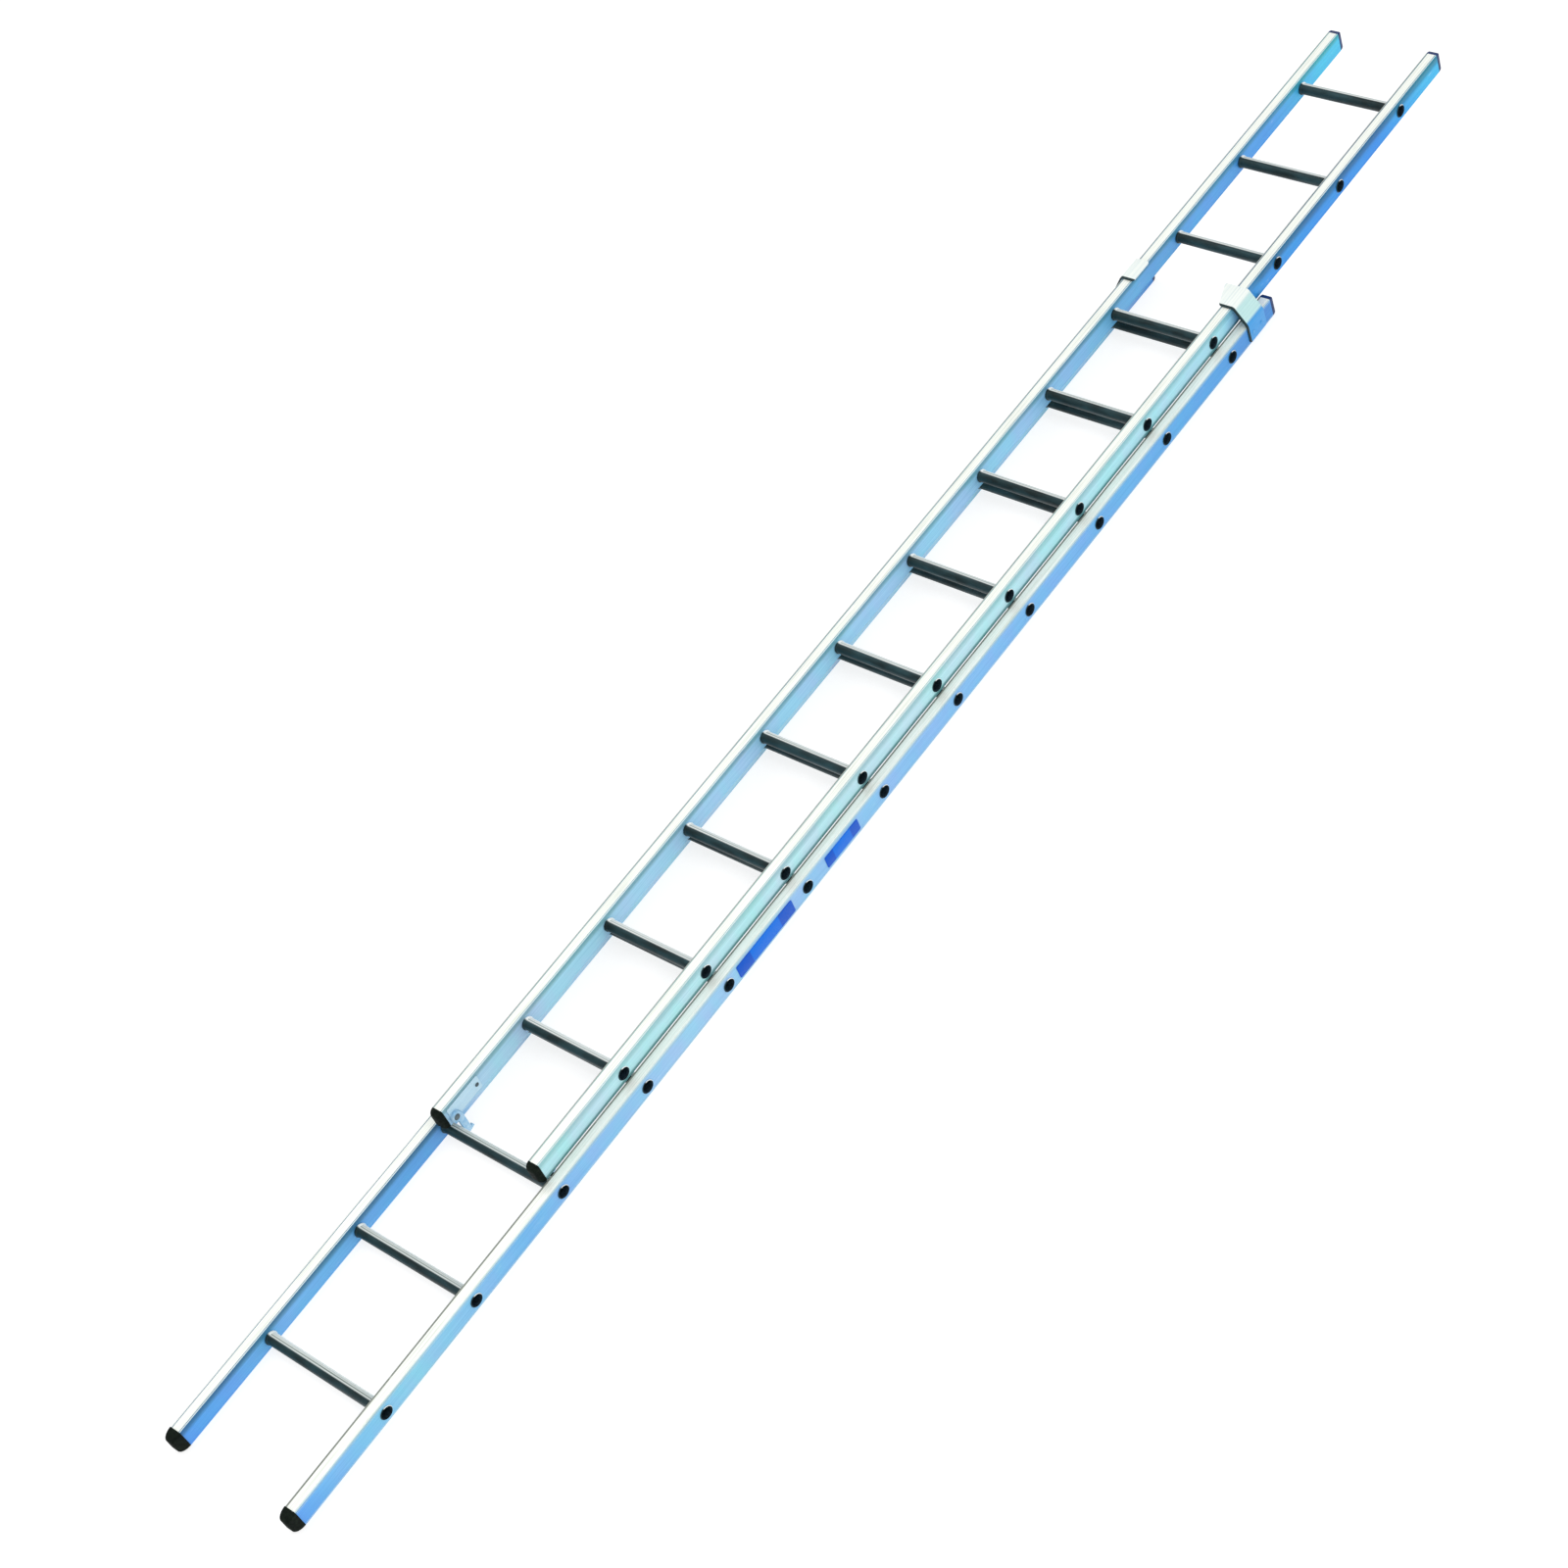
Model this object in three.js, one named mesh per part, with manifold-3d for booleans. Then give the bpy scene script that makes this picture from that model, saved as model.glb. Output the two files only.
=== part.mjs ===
// Two-section push-up extension ladder in aluminium, lying on its back.
// Units are millimetres. +X runs across the rungs, +Y along the stiles from the feet to the top,
// and +Z up, towards the climbing side. The origin is the centre of the footprint, on the floor.
import * as THREE from 'three';
import { mergeVertices } from 'three/addons/utils/BufferGeometryUtils.js';
import Module from 'manifold-3d';

const wasm = await Module();
wasm.setup();

// ---- Driving dimensions -----------------------------------------------------------------------

// Both sections are cut from the same stile and rung stock.
const RUNG_COUNT = 12;
const RUNG_PITCH = 280;
const BASE_FIRST_RUNG = 257;         // stile end to the middle of the first rung
const FLY_FIRST_RUNG = 266;
const BASE_STILE_LENGTH = 3509;
const FLY_STILE_LENGTH = 3525;
const STILE_WIDTH = 30;              // the flange the climber sees
const STILE_DEPTH = 52;              // the web
const STILE_WALL = 1.8;
const STILE_CORNER = 3;
const RUNG_RADIUS = 14;
const RUNG_WALL = 1.8;
const RUNG_PROUD = 1;                // how far a rung end stands out of the outer web
const ROUND_SIDES = 12;
const RIVET_SIDES = 8;

// The fly section runs in front of the base section and between its stiles.
const BASE_OUTER_WIDTH = 372;
const SIDE_CLEARANCE = 1.5;
const SECTION_SPACING = 50;          // middle of the base stile to middle of the fly stile
const RUNGS_EXTENDED = 3;
const FLY_DROP = 16;                 // how far a fly rung lies below the base rung beside it

const FIT_GAP = 0.3;
const CUT_REACH = 5;                 // how far a cutter runs past the faces it goes through
const WELD_DISTANCE = 1e-4;

// Feet, caps and plugs. Their outer faces are crowned: the outline shrinks by these shares on the way out.
const FOOT_THICKNESS = 26;
const FOOT_PROUD = 2;
const CAP_THICKNESS = 16;
const CAP_PROUD = 1;
const PLUG_THICKNESS = 12;
const CROWN = { acrossX: 0.5, acrossZ: 0.45, steps: 5 };
const SPIGOT_LENGTH = 30;
const CAP_SPIGOT_LENGTH = 10;        // stops short of the latch pivots

// Guide brackets at the top of the base section.
const BRACKET_THICKNESS = 3;
const BRACKET_HEIGHT = 70;
const BRACKET_TOP_DROP = 32;         // base stile top down to the bracket's top edge
const BRACKET_RUNNING_GAP = 1;
const BRACKET_SIDE_PLATE = 50;       // how far the plate reaches back over the base web
const LIP_WIDTH = 37;
const LIP_FLARE = 26;                // the right lip widens by this much at its top corner
const LIP_CORNER = 8;                // straight edge left at the top of the flared lip
const BRACKET_RIVET_SPACING = 34;

// Rung latches at the bottom of the fly section.
const LATCH_RUNG = 3;                // the base rung that the latches sit on
const LATCH_PIVOT_FORWARD = 40;      // pivot in front of the rung's middle
const LATCH_PIVOT_ABOVE = 16;        // pivot above the rung's middle
const LATCH_PLATE = { thickness: 2.5, below: 10, above: 88, front: 30, back: 8 };
const LATCH_RIVET_ABOVE = 78;        // plate rivet above the pivot
const HOOK_THICKNESS = 6;
const HOOK_HEAD_RADIUS = 13;
const HOOK_HEAD_ARC = [90, 300];     // degrees of the head's round edge
const HOOK_SEAT_GAP = 0.6;           // play between the hook and the rung under it
const HOOK_TOP = 15;                 // top edge of the arm above the pivot
const NOSE_INNER_RADIUS = 57.8;
const NOSE_OUTER_RADIUS = 64.5;
const NOSE_TIP_ANGLE = -21;          // degrees below the line through the pivot
const PIVOT = { radius: 4, headRadius: 7.5, headHeight: 2.5, sides: ROUND_SIDES };
const RIVET = { radius: 2.4, headRadius: 5, headHeight: 1.8, sides: RIVET_SIDES };
const RIVET_TAIL = 2;                // formed tail inside the tube

// Plain plates on the right base web: [distance of the middle from the first rung, length, width].
const LABELS = { large: [1250, 194, 38], small: [1526, 118, 34] };
const LABEL_THICKNESS = 0.8;

// ---- Places worked out from the driving dimensions ---------------------------------------------

const FLY_LEAD = BASE_FIRST_RUNG + RUNGS_EXTENDED * RUNG_PITCH - FLY_DROP - FLY_FIRST_RUNG;
const OVERALL_LENGTH = FOOT_THICKNESS + FLY_LEAD + FLY_STILE_LENGTH + PLUG_THICKNESS;
const BASE_START = FOOT_THICKNESS - OVERALL_LENGTH / 2;
const FLY_START = BASE_START + FLY_LEAD;
const BASE_MIDDLE_Z = STILE_DEPTH / 2;
const FLY_MIDDLE_Z = BASE_MIDDLE_Z + SECTION_SPACING;
const BASE_OUTER_X = BASE_OUTER_WIDTH / 2;
const FLY_OUTER_X = BASE_OUTER_X - STILE_WIDTH - SIDE_CLEARANCE;
const BASE = {
  name: 'base', start: BASE_START, length: BASE_STILE_LENGTH, firstRung: BASE_FIRST_RUNG,
  middleZ: BASE_MIDDLE_Z, outerX: BASE_OUTER_X,
};
const FLY = {
  name: 'fly', start: FLY_START, length: FLY_STILE_LENGTH, firstRung: FLY_FIRST_RUNG,
  middleZ: FLY_MIDDLE_Z, outerX: FLY_OUTER_X,
};
const SIDES = { left: -1, right: 1 };

const rungY = (section, index) => section.start + section.firstRung + index * RUNG_PITCH;
const stileMiddleX = (section) => section.outerX - STILE_WIDTH / 2;
const PIVOT_Y = rungY(BASE, LATCH_RUNG - 1) + LATCH_PIVOT_ABOVE;
const PIVOT_Z = BASE_MIDDLE_Z + LATCH_PIVOT_FORWARD;
const FLY_INNER_X = FLY_OUTER_X - STILE_WIDTH;
const BRACKET_BOTTOM_Y = BASE_START + BASE_STILE_LENGTH - BRACKET_TOP_DROP - BRACKET_HEIGHT;

// ---- Materials ----------------------------------------------------------------------------------

const finish = (color, roughness, metalness) =>
  new THREE.MeshStandardMaterial({ color, roughness, metalness });
const STILE_FINISH = finish(0x8fc3ea, 0.35, 0.8);
const RUNG_FINISH = finish(0xd4d9d8, 0.4, 0.9);
const RUBBER_FINISH = finish(0x151a14, 0.85, 0);
const PLUG_FINISH = finish(0x1f3c78, 0.5, 0);
const BRACKET_FINISH = finish(0xdfeaea, 0.35, 0.9);
const LATCH_FINISH = finish(0xb9c0c2, 0.45, 0.9);
const RIVET_FINISH = finish(0xa9b0b3, 0.4, 0.9);
const LABEL_FINISH = finish(0x1d4fb4, 0.5, 0);

// ---- Solids and meshes --------------------------------------------------------------------------

/** Turn a closed three.js geometry into a manifold solid. */
function solidOf(geometry) {
  const bare = geometry.clone();
  bare.deleteAttribute('normal');
  bare.deleteAttribute('uv');
  const merged = mergeVertices(bare, WELD_DISTANCE);
  return new wasm.Manifold(new wasm.Mesh({
    numProp: 3,
    vertProperties: new Float32Array(merged.attributes.position.array),
    triVerts: new Uint32Array(merged.index.array),
  }));
}

/** Turn a manifold solid back into a three.js geometry. */
function geometryOf(solid) {
  const mesh = solid.getMesh();
  const geometry = new THREE.BufferGeometry();
  geometry.setAttribute('position', new THREE.BufferAttribute(mesh.vertProperties, 3));
  geometry.setIndex(new THREE.BufferAttribute(mesh.triVerts, 1));
  geometry.computeVertexNormals();
  return geometry;
}

/** Geometry less a list of cutter geometries. */
function cut(geometry, cutters) {
  const solid = cutters.reduce((rest, cutter) => rest.subtract(solidOf(cutter)), solidOf(geometry));
  return geometryOf(solid);
}

/** Geometry joined with a list of others that overlap it. */
function join(geometry, others) {
  const solid = others.reduce((rest, other) => rest.add(solidOf(other)), solidOf(geometry));
  return geometryOf(solid);
}

/** A named mesh of the finished model. */
function piece(name, geometry, material) {
  const mesh = new THREE.Mesh(geometry, material);
  mesh.name = name;
  return mesh;
}

/** A rounded rectangle centred on the origin, as a shape. */
function roundedRectangle(width, height, radius) {
  const x = width / 2;
  const y = height / 2;
  const shape = new THREE.Shape();
  shape.moveTo(x, y - radius);
  shape.absarc(x - radius, y - radius, radius, 0, Math.PI / 2);
  shape.absarc(radius - x, y - radius, radius, Math.PI / 2, Math.PI);
  shape.absarc(radius - x, radius - y, radius, Math.PI, 1.5 * Math.PI);
  shape.absarc(x - radius, radius - y, radius, 1.5 * Math.PI, 2 * Math.PI);
  shape.closePath();
  return shape;
}

/** Extrude a shape drawn in x and z along +Y, from y = start. */
function alongY(shape, length, start, curveSegments = 2, steps = 1) {
  const options = { depth: length, bevelEnabled: false, curveSegments, steps };
  const geometry = new THREE.ExtrudeGeometry(shape, options);
  geometry.rotateX(Math.PI / 2);
  geometry.translate(0, start + length, 0);
  return geometry;
}

/** Extrude a shape drawn in y and z along +X, from x = start. */
function alongX(shape, length, start, curveSegments = 4) {
  const geometry = new THREE.ExtrudeGeometry(shape, { depth: length, bevelEnabled: false, curveSegments });
  geometry.rotateY(Math.PI / 2);
  geometry.rotateX(Math.PI / 2);
  geometry.translate(start, 0, 0);
  return geometry;
}

/** A round bar or cutter along X, between two x values. */
function roundBar(radius, fromX, toX, y, z, sides = ROUND_SIDES) {
  const geometry = new THREE.CylinderGeometry(radius, radius, Math.abs(toX - fromX), sides);
  geometry.rotateZ(Math.PI / 2);
  geometry.translate((fromX + toX) / 2, y, z);
  return geometry;
}

/** A cutter for a fastener's clearance hole, through whatever lies between two x values. */
function fastenerHole(fastener, fromX, toX, { y, z }) {
  return roundBar(fastener.radius + FIT_GAP, fromX - CUT_REACH, toX + CUT_REACH, y, z, fastener.sides);
}

/** A block between two corners. */
function block([x0, y0, z0], [x1, y1, z1]) {
  const geometry = new THREE.BoxGeometry(Math.abs(x1 - x0), Math.abs(y1 - y0), Math.abs(z1 - z0));
  geometry.translate((x0 + x1) / 2, (y0 + y1) / 2, (z0 + z1) / 2);
  return geometry;
}

/** The other side's copy of a geometry, still facing outwards. */
function mirrored(geometry) {
  const copy = geometry.index ? geometry.toNonIndexed() : geometry.clone();
  copy.scale(-1, 1, 1);
  const position = copy.attributes.position;
  const corner = new THREE.Vector3();
  for (let i = 0; i < position.count; i += 3) {
    corner.fromBufferAttribute(position, i);
    position.setXYZ(i, position.getX(i + 1), position.getY(i + 1), position.getZ(i + 1));
    position.setXYZ(i + 1, corner.x, corner.y, corner.z);
  }
  copy.computeVertexNormals();
  return copy;
}

/** Right-hand geometry as it is, or mirrored for the left side. */
const forSide = (side, geometry) => (SIDES[side] > 0 ? geometry : mirrored(geometry));

// ---- Stiles and rungs ---------------------------------------------------------------------------

/** A right-hand stile: a box tube pierced by every rung, and by the given fastener cutters. */
function stileGeometry(section, fastenerCutters) {
  const outline = roundedRectangle(STILE_WIDTH, STILE_DEPTH, STILE_CORNER);
  const bore = roundedRectangle(STILE_WIDTH - 2 * STILE_WALL, STILE_DEPTH - 2 * STILE_WALL, STILE_CORNER / 2);
  outline.holes.push(bore);
  const tube = alongY(outline, section.length, section.start);
  tube.translate(stileMiddleX(section), 0, section.middleZ);
  const rungCutters = [];
  for (let index = 0; index < RUNG_COUNT; index += 1) {
    rungCutters.push(roundBar(RUNG_RADIUS + FIT_GAP, section.outerX - STILE_WIDTH - CUT_REACH,
      section.outerX + CUT_REACH, rungY(section, index), section.middleZ));
  }
  return cut(tube, [...rungCutters, ...fastenerCutters]);
}

/** One rung: a tube through both stiles, open at both ends. */
function rungGeometry(section, index) {
  const reach = section.outerX + RUNG_PROUD;
  const y = rungY(section, index);
  const bar = roundBar(RUNG_RADIUS, -reach, reach, y, section.middleZ);
  const bore = roundBar(RUNG_RADIUS - RUNG_WALL, -reach - CUT_REACH, reach + CUT_REACH, y, section.middleZ);
  return cut(bar, [bore]);
}

// ---- Feet, caps and plugs -----------------------------------------------------------------------

/** Crown a slab extruded in steps along Y: its outline shrinks in a curve from the seat to the tip. */
function crowned(slab, seatY, tipY) {
  const position = slab.attributes.position;
  for (let i = 0; i < position.count; i += 1) {
    const turn = (Math.PI / 2) * ((position.getY(i) - seatY) / (tipY - seatY));
    const shrink = 1 - Math.cos(turn);
    position.setXYZ(i, position.getX(i) * (1 - CROWN.acrossX * shrink),
      seatY + (tipY - seatY) * Math.sin(turn), position.getZ(i) * (1 - CROWN.acrossZ * shrink));
  }
  return slab;
}

/**
 * A moulded end piece: a crowned slab over the stile's end and a spigot inside the tube.
 * direction is -1 at the bottom of a stile and 1 at its top.
 */
function endPiece(section, direction, thickness, proud, flushBack, spigotLength = SPIGOT_LENGTH) {
  const end = direction < 0 ? section.start : section.start + section.length;
  const slabWidth = STILE_WIDTH + 2 * proud;
  const slabDepth = STILE_DEPTH + (flushBack ? 1 : 2) * proud;
  const slabFrom = direction < 0 ? end - thickness : end + FIT_GAP;
  const slabOutline = roundedRectangle(slabWidth, slabDepth, STILE_CORNER + proud);
  const slab = crowned(alongY(slabOutline, thickness - FIT_GAP, slabFrom, 2, CROWN.steps),
    end + direction * FIT_GAP, end + direction * thickness);
  slab.translate(stileMiddleX(section), 0, section.middleZ + (flushBack ? proud / 2 : 0));
  const inset = 2 * (STILE_WALL + FIT_GAP);
  const spigotFrom = direction < 0 ? end - thickness / 2 : end - spigotLength;
  const spigot = alongY(roundedRectangle(STILE_WIDTH - inset, STILE_DEPTH - inset, STILE_CORNER / 2),
    spigotLength + thickness / 2, spigotFrom);
  spigot.translate(stileMiddleX(section), 0, section.middleZ);
  return join(slab, [spigot]);
}

// ---- Guide brackets -----------------------------------------------------------------------------

/** The outline of a bent sheet whose middle line runs through the given points. */
function bentSheet(points, thickness) {
  const half = thickness / 2;
  const along = points.slice(1).map((point, i) => point.clone().sub(points[i]).normalize());
  const offset = (i, sign) => {
    const before = along[Math.max(0, i - 1)];
    const after = along[Math.min(along.length - 1, i)];
    const normal = new THREE.Vector2(-before.y - after.y, before.x + after.x).normalize();
    const mitre = half / normal.dot(new THREE.Vector2(-after.y, after.x));
    return points[i].clone().addScaledVector(normal, sign * mitre);
  };
  const there = points.map((_, i) => offset(i, 1));
  const back = points.map((_, i) => offset(i, -1)).reverse();
  return new THREE.Shape([...there, ...back]);
}

const BRACKET_SIDE_X = BASE_OUTER_X + FIT_GAP + BRACKET_THICKNESS / 2;
const BRACKET_FRONT_Z = FLY_MIDDLE_Z + STILE_DEPTH / 2 + BRACKET_RUNNING_GAP + BRACKET_THICKNESS / 2;
const BRACKET_CORNER_X = FLY_OUTER_X + BRACKET_THICKNESS;
const BRACKET_RIVETS = [-1, 1].map((step) => ({
  y: BRACKET_BOTTOM_Y + BRACKET_HEIGHT / 2 + step * BRACKET_RIVET_SPACING / 2,
  z: BASE_MIDDLE_Z,
}));

/** Right-hand guide bracket: lip over the fly flange, slanted wall, side plate on the base web. */
function bracketGeometry(flare) {
  const lipEnd = BRACKET_CORNER_X - LIP_WIDTH;
  const bends = [
    new THREE.Vector2(lipEnd - flare, BRACKET_FRONT_Z),
    new THREE.Vector2(BRACKET_CORNER_X, BRACKET_FRONT_Z),
    new THREE.Vector2(BRACKET_SIDE_X, STILE_DEPTH + BRACKET_THICKNESS),
    new THREE.Vector2(BRACKET_SIDE_X, STILE_DEPTH + BRACKET_THICKNESS - BRACKET_SIDE_PLATE),
  ];
  const sheet = alongY(bentSheet(bends, BRACKET_THICKNESS), BRACKET_HEIGHT, BRACKET_BOTTOM_Y);
  const cutters = BRACKET_RIVETS.map((place) => fastenerHole(RIVET, BRACKET_SIDE_X, BRACKET_SIDE_X, place));
  if (flare > 0) {
    const below = BRACKET_BOTTOM_Y - CUT_REACH;
    const straightFrom = BRACKET_BOTTOM_Y + BRACKET_HEIGHT - LIP_CORNER;
    const corner = new THREE.Shape([
      new THREE.Vector2(lipEnd - 2 * flare, below),
      new THREE.Vector2(lipEnd, below),
      new THREE.Vector2(lipEnd - flare, straightFrom),
      new THREE.Vector2(lipEnd - 2 * flare, straightFrom),
    ]);
    const wedge = new THREE.ExtrudeGeometry(corner, { depth: 2 * CUT_REACH, bevelEnabled: false });
    wedge.translate(0, 0, BRACKET_FRONT_Z - CUT_REACH);
    cutters.push(wedge);
  }
  return cut(sheet, cutters);
}

/** A closed rivet along X: a head that stands on x = headFrom, a shank, and a tail from x = tailFrom. */
function rivetGeometry({ radius, headRadius, headHeight, sides }, headFrom, tailFrom, { y, z }) {
  const outward = Math.sign(headFrom - tailFrom);
  const tailTo = tailFrom - outward * RIVET_TAIL;
  const head = roundBar(headRadius, headFrom, headFrom + outward * headHeight, y, z, sides);
  const shank = roundBar(radius, headFrom + outward * headHeight / 2, tailTo, y, z, sides);
  const tail = roundBar((radius + headRadius) / 2, tailFrom, tailTo, y, z, sides);
  return join(head, [shank, tail]);
}

// ---- Rung latches -------------------------------------------------------------------------------

const PLATE_OUTER_X = FLY_INNER_X - FIT_GAP;
const PLATE_INNER_X = PLATE_OUTER_X - LATCH_PLATE.thickness;
const HOOK_OUTER_X = PLATE_INNER_X - FIT_GAP;
const HOOK_INNER_X = HOOK_OUTER_X - HOOK_THICKNESS;
const PIVOT_PLACE = { y: PIVOT_Y, z: PIVOT_Z };
const PLATE_RIVET_PLACE = { y: PIVOT_Y + LATCH_RIVET_ABOVE, z: FLY_MIDDLE_Z };

/** The plate that carries a latch, flat on the inner web of a fly stile. */
function latchPlateGeometry() {
  const low = [PLATE_INNER_X, PIVOT_Y - LATCH_PLATE.below, PIVOT_Z - LATCH_PLATE.back];
  const high = [PLATE_OUTER_X, PIVOT_Y + LATCH_PLATE.above, PIVOT_Z + LATCH_PLATE.front];
  const pivotHole = fastenerHole(PIVOT, PLATE_INNER_X, PLATE_OUTER_X, PIVOT_PLACE);
  const rivetHole = fastenerHole(RIVET, PLATE_INNER_X, PLATE_OUTER_X, PLATE_RIVET_PLACE);
  return cut(block(low, high), [pivotHole, rivetHole]);
}

/** A point of the hook's outline: back is towards the base, up is along the ladder. */
const hookPoint = (back, up) => new THREE.Vector2(PIVOT_Y + up, PIVOT_Z - back);

/** Points of an arc about the pivot, with angles in degrees measured from straight back. */
function hookArc(radius, fromDegrees, toDegrees, steps) {
  return Array.from({ length: steps + 1 }, (_, i) => {
    const angle = THREE.MathUtils.degToRad(fromDegrees + (toDegrees - fromDegrees) * i / steps);
    return hookPoint(radius * Math.cos(angle), radius * Math.sin(angle));
  });
}

/** The latch hook: a round head on the pivot, an arm over the base rung and a nose behind it. */
function hookGeometry() {
  const seatUp = RUNG_RADIUS + HOOK_SEAT_GAP - LATCH_PIVOT_ABOVE;
  const seatAngle = THREE.MathUtils.radToDeg(Math.asin(seatUp / NOSE_INNER_RADIUS));
  const topAngle = THREE.MathUtils.radToDeg(Math.asin(HOOK_TOP / NOSE_OUTER_RADIUS));
  const outline = new THREE.Shape([
    ...hookArc(HOOK_HEAD_RADIUS, ...HOOK_HEAD_ARC, 7),
    hookPoint(HOOK_HEAD_RADIUS, seatUp),
    ...hookArc(NOSE_INNER_RADIUS, seatAngle, NOSE_TIP_ANGLE, 4),
    ...hookArc(NOSE_OUTER_RADIUS, NOSE_TIP_ANGLE, topAngle, 5),
  ]);
  const hook = alongX(outline, HOOK_THICKNESS, HOOK_INNER_X);
  // The bore's flats, not its corners, keep the gap, so that the hook can turn on the faceted pin.
  const boreRadius = (PIVOT.radius + FIT_GAP) / Math.cos(Math.PI / PIVOT.sides);
  const bore = roundBar(boreRadius, HOOK_INNER_X - CUT_REACH, HOOK_OUTER_X + CUT_REACH, PIVOT_Y, PIVOT_Z);
  return cut(hook, [bore]);
}

// ---- The assembly -------------------------------------------------------------------------------

const ladder = new THREE.Group();

/** Stiles and rungs of one section. */
function addFrame(section, fastenerCutters) {
  const stile = stileGeometry(section, fastenerCutters);
  for (const side of Object.keys(SIDES)) {
    ladder.add(piece(`${section.name}_stile_${side}`, forSide(side, stile), STILE_FINISH));
  }
  for (let index = 0; index < RUNG_COUNT; index += 1) {
    const number = String(index + 1).padStart(2, '0');
    ladder.add(piece(`${section.name}_rung_${number}`, rungGeometry(section, index), RUNG_FINISH));
  }
}

addFrame(BASE, BRACKET_RIVETS.map((place) => fastenerHole(RIVET, BASE_OUTER_X, BASE_OUTER_X, place)));
addFrame(FLY, [
  fastenerHole(PIVOT, FLY_INNER_X, FLY_INNER_X, PIVOT_PLACE),
  fastenerHole(RIVET, FLY_INNER_X, FLY_INNER_X, PLATE_RIVET_PLACE),
]);

for (const side of Object.keys(SIDES)) {
  const foot = endPiece(BASE, -1, FOOT_THICKNESS, FOOT_PROUD, true);
  const cap = endPiece(FLY, -1, CAP_THICKNESS, CAP_PROUD, false, CAP_SPIGOT_LENGTH);
  const basePlug = endPiece(BASE, 1, PLUG_THICKNESS, 0, false);
  const flyPlug = endPiece(FLY, 1, PLUG_THICKNESS, 0, false);
  ladder.add(piece(`foot_${side}`, forSide(side, foot), RUBBER_FINISH));
  ladder.add(piece(`fly_bottom_cap_${side}`, forSide(side, cap), RUBBER_FINISH));
  ladder.add(piece(`base_top_plug_${side}`, forSide(side, basePlug), PLUG_FINISH));
  ladder.add(piece(`fly_top_plug_${side}`, forSide(side, flyPlug), PLUG_FINISH));

  const bracket = bracketGeometry(SIDES[side] > 0 ? LIP_FLARE : 0);
  ladder.add(piece(`guide_bracket_${side}`, forSide(side, bracket), BRACKET_FINISH));
  const bracketFace = BRACKET_SIDE_X + BRACKET_THICKNESS / 2 + FIT_GAP;
  const tailInBase = BASE_OUTER_X - STILE_WALL - FIT_GAP;
  BRACKET_RIVETS.forEach((place, index) => {
    const rivet = rivetGeometry(RIVET, bracketFace, tailInBase, place);
    ladder.add(piece(`bracket_rivet_${side}_${index + 1}`, forSide(side, rivet), RIVET_FINISH));
  });

  ladder.add(piece(`latch_plate_${side}`, forSide(side, latchPlateGeometry()), BRACKET_FINISH));
  const tailInFly = FLY_INNER_X + STILE_WALL + FIT_GAP;
  const plateRivet = rivetGeometry(RIVET, HOOK_OUTER_X, tailInFly, PLATE_RIVET_PLACE);
  ladder.add(piece(`latch_plate_rivet_${side}`, forSide(side, plateRivet), RIVET_FINISH));
  const pivot = rivetGeometry(PIVOT, HOOK_INNER_X - FIT_GAP, tailInFly, PIVOT_PLACE);
  ladder.add(piece(`latch_pivot_${side}`, forSide(side, pivot), RIVET_FINISH));
  ladder.add(piece(`latch_hook_${side}`, forSide(side, hookGeometry()), LATCH_FINISH));
}

for (const [size, [middle, length, width]] of Object.entries(LABELS)) {
  const y = rungY(BASE, 0) + middle;
  const from = BASE_OUTER_X + FIT_GAP;
  const plate = block([from, y - length / 2, BASE_MIDDLE_Z - width / 2],
    [from + LABEL_THICKNESS, y + length / 2, BASE_MIDDLE_Z + width / 2]);
  ladder.add(piece(`label_plate_${size}`, plate, LABEL_FINISH));
}

export default ladder;
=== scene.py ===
"""Looks of a two-section push-up extension ladder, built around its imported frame.

Units are metres, in the frame's own axes: +X runs across the rungs, +Y along the stiles from the feet to
the top, and +Z up from the floor towards the climbing side. The ladder lies on its back.
"""

import logging
import math
from contextlib import contextmanager
from dataclasses import dataclass
from enum import Enum
from typing import Any, Callable, Iterator, Sequence

import bmesh
import bpy
from mathutils import Euler, Matrix, Vector


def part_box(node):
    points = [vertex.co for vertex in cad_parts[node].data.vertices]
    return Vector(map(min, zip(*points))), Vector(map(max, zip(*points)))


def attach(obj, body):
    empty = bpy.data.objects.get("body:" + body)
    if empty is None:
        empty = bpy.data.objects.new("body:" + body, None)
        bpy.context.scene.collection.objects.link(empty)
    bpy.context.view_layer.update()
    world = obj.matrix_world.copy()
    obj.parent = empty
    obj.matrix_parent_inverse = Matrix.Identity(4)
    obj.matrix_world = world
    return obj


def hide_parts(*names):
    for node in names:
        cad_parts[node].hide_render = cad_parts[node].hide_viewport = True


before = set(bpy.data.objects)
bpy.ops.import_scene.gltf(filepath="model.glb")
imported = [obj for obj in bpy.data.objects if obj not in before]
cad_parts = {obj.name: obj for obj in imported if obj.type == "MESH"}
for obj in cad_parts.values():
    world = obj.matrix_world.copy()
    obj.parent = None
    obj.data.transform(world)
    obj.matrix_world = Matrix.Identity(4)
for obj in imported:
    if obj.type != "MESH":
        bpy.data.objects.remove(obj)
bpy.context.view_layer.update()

TINY = 1e-6                      # two places closer than this are one place
NEAR = 2e-5                      # how near a vertex is to a cut that it was made by
SURFACE = 2e-4                   # how near a vertex is to a plane it belongs to

log = logging.getLogger("ladder")

Piece = bpy.types.Object
Material = bpy.types.Material
Socket = bpy.types.NodeSocket
Triple = tuple[float, float, float]
Colour = tuple[float, float, float]
Shade = Colour | Socket
Stops = tuple[tuple[float, Colour], ...]


class Side(Enum):
    """The two sides of the ladder, with the sign of their x."""

    LEFT = -1
    RIGHT = 1

    @property
    def label(self) -> str:
        """The side's name inside a node's name."""
        return self.name.lower()


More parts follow.
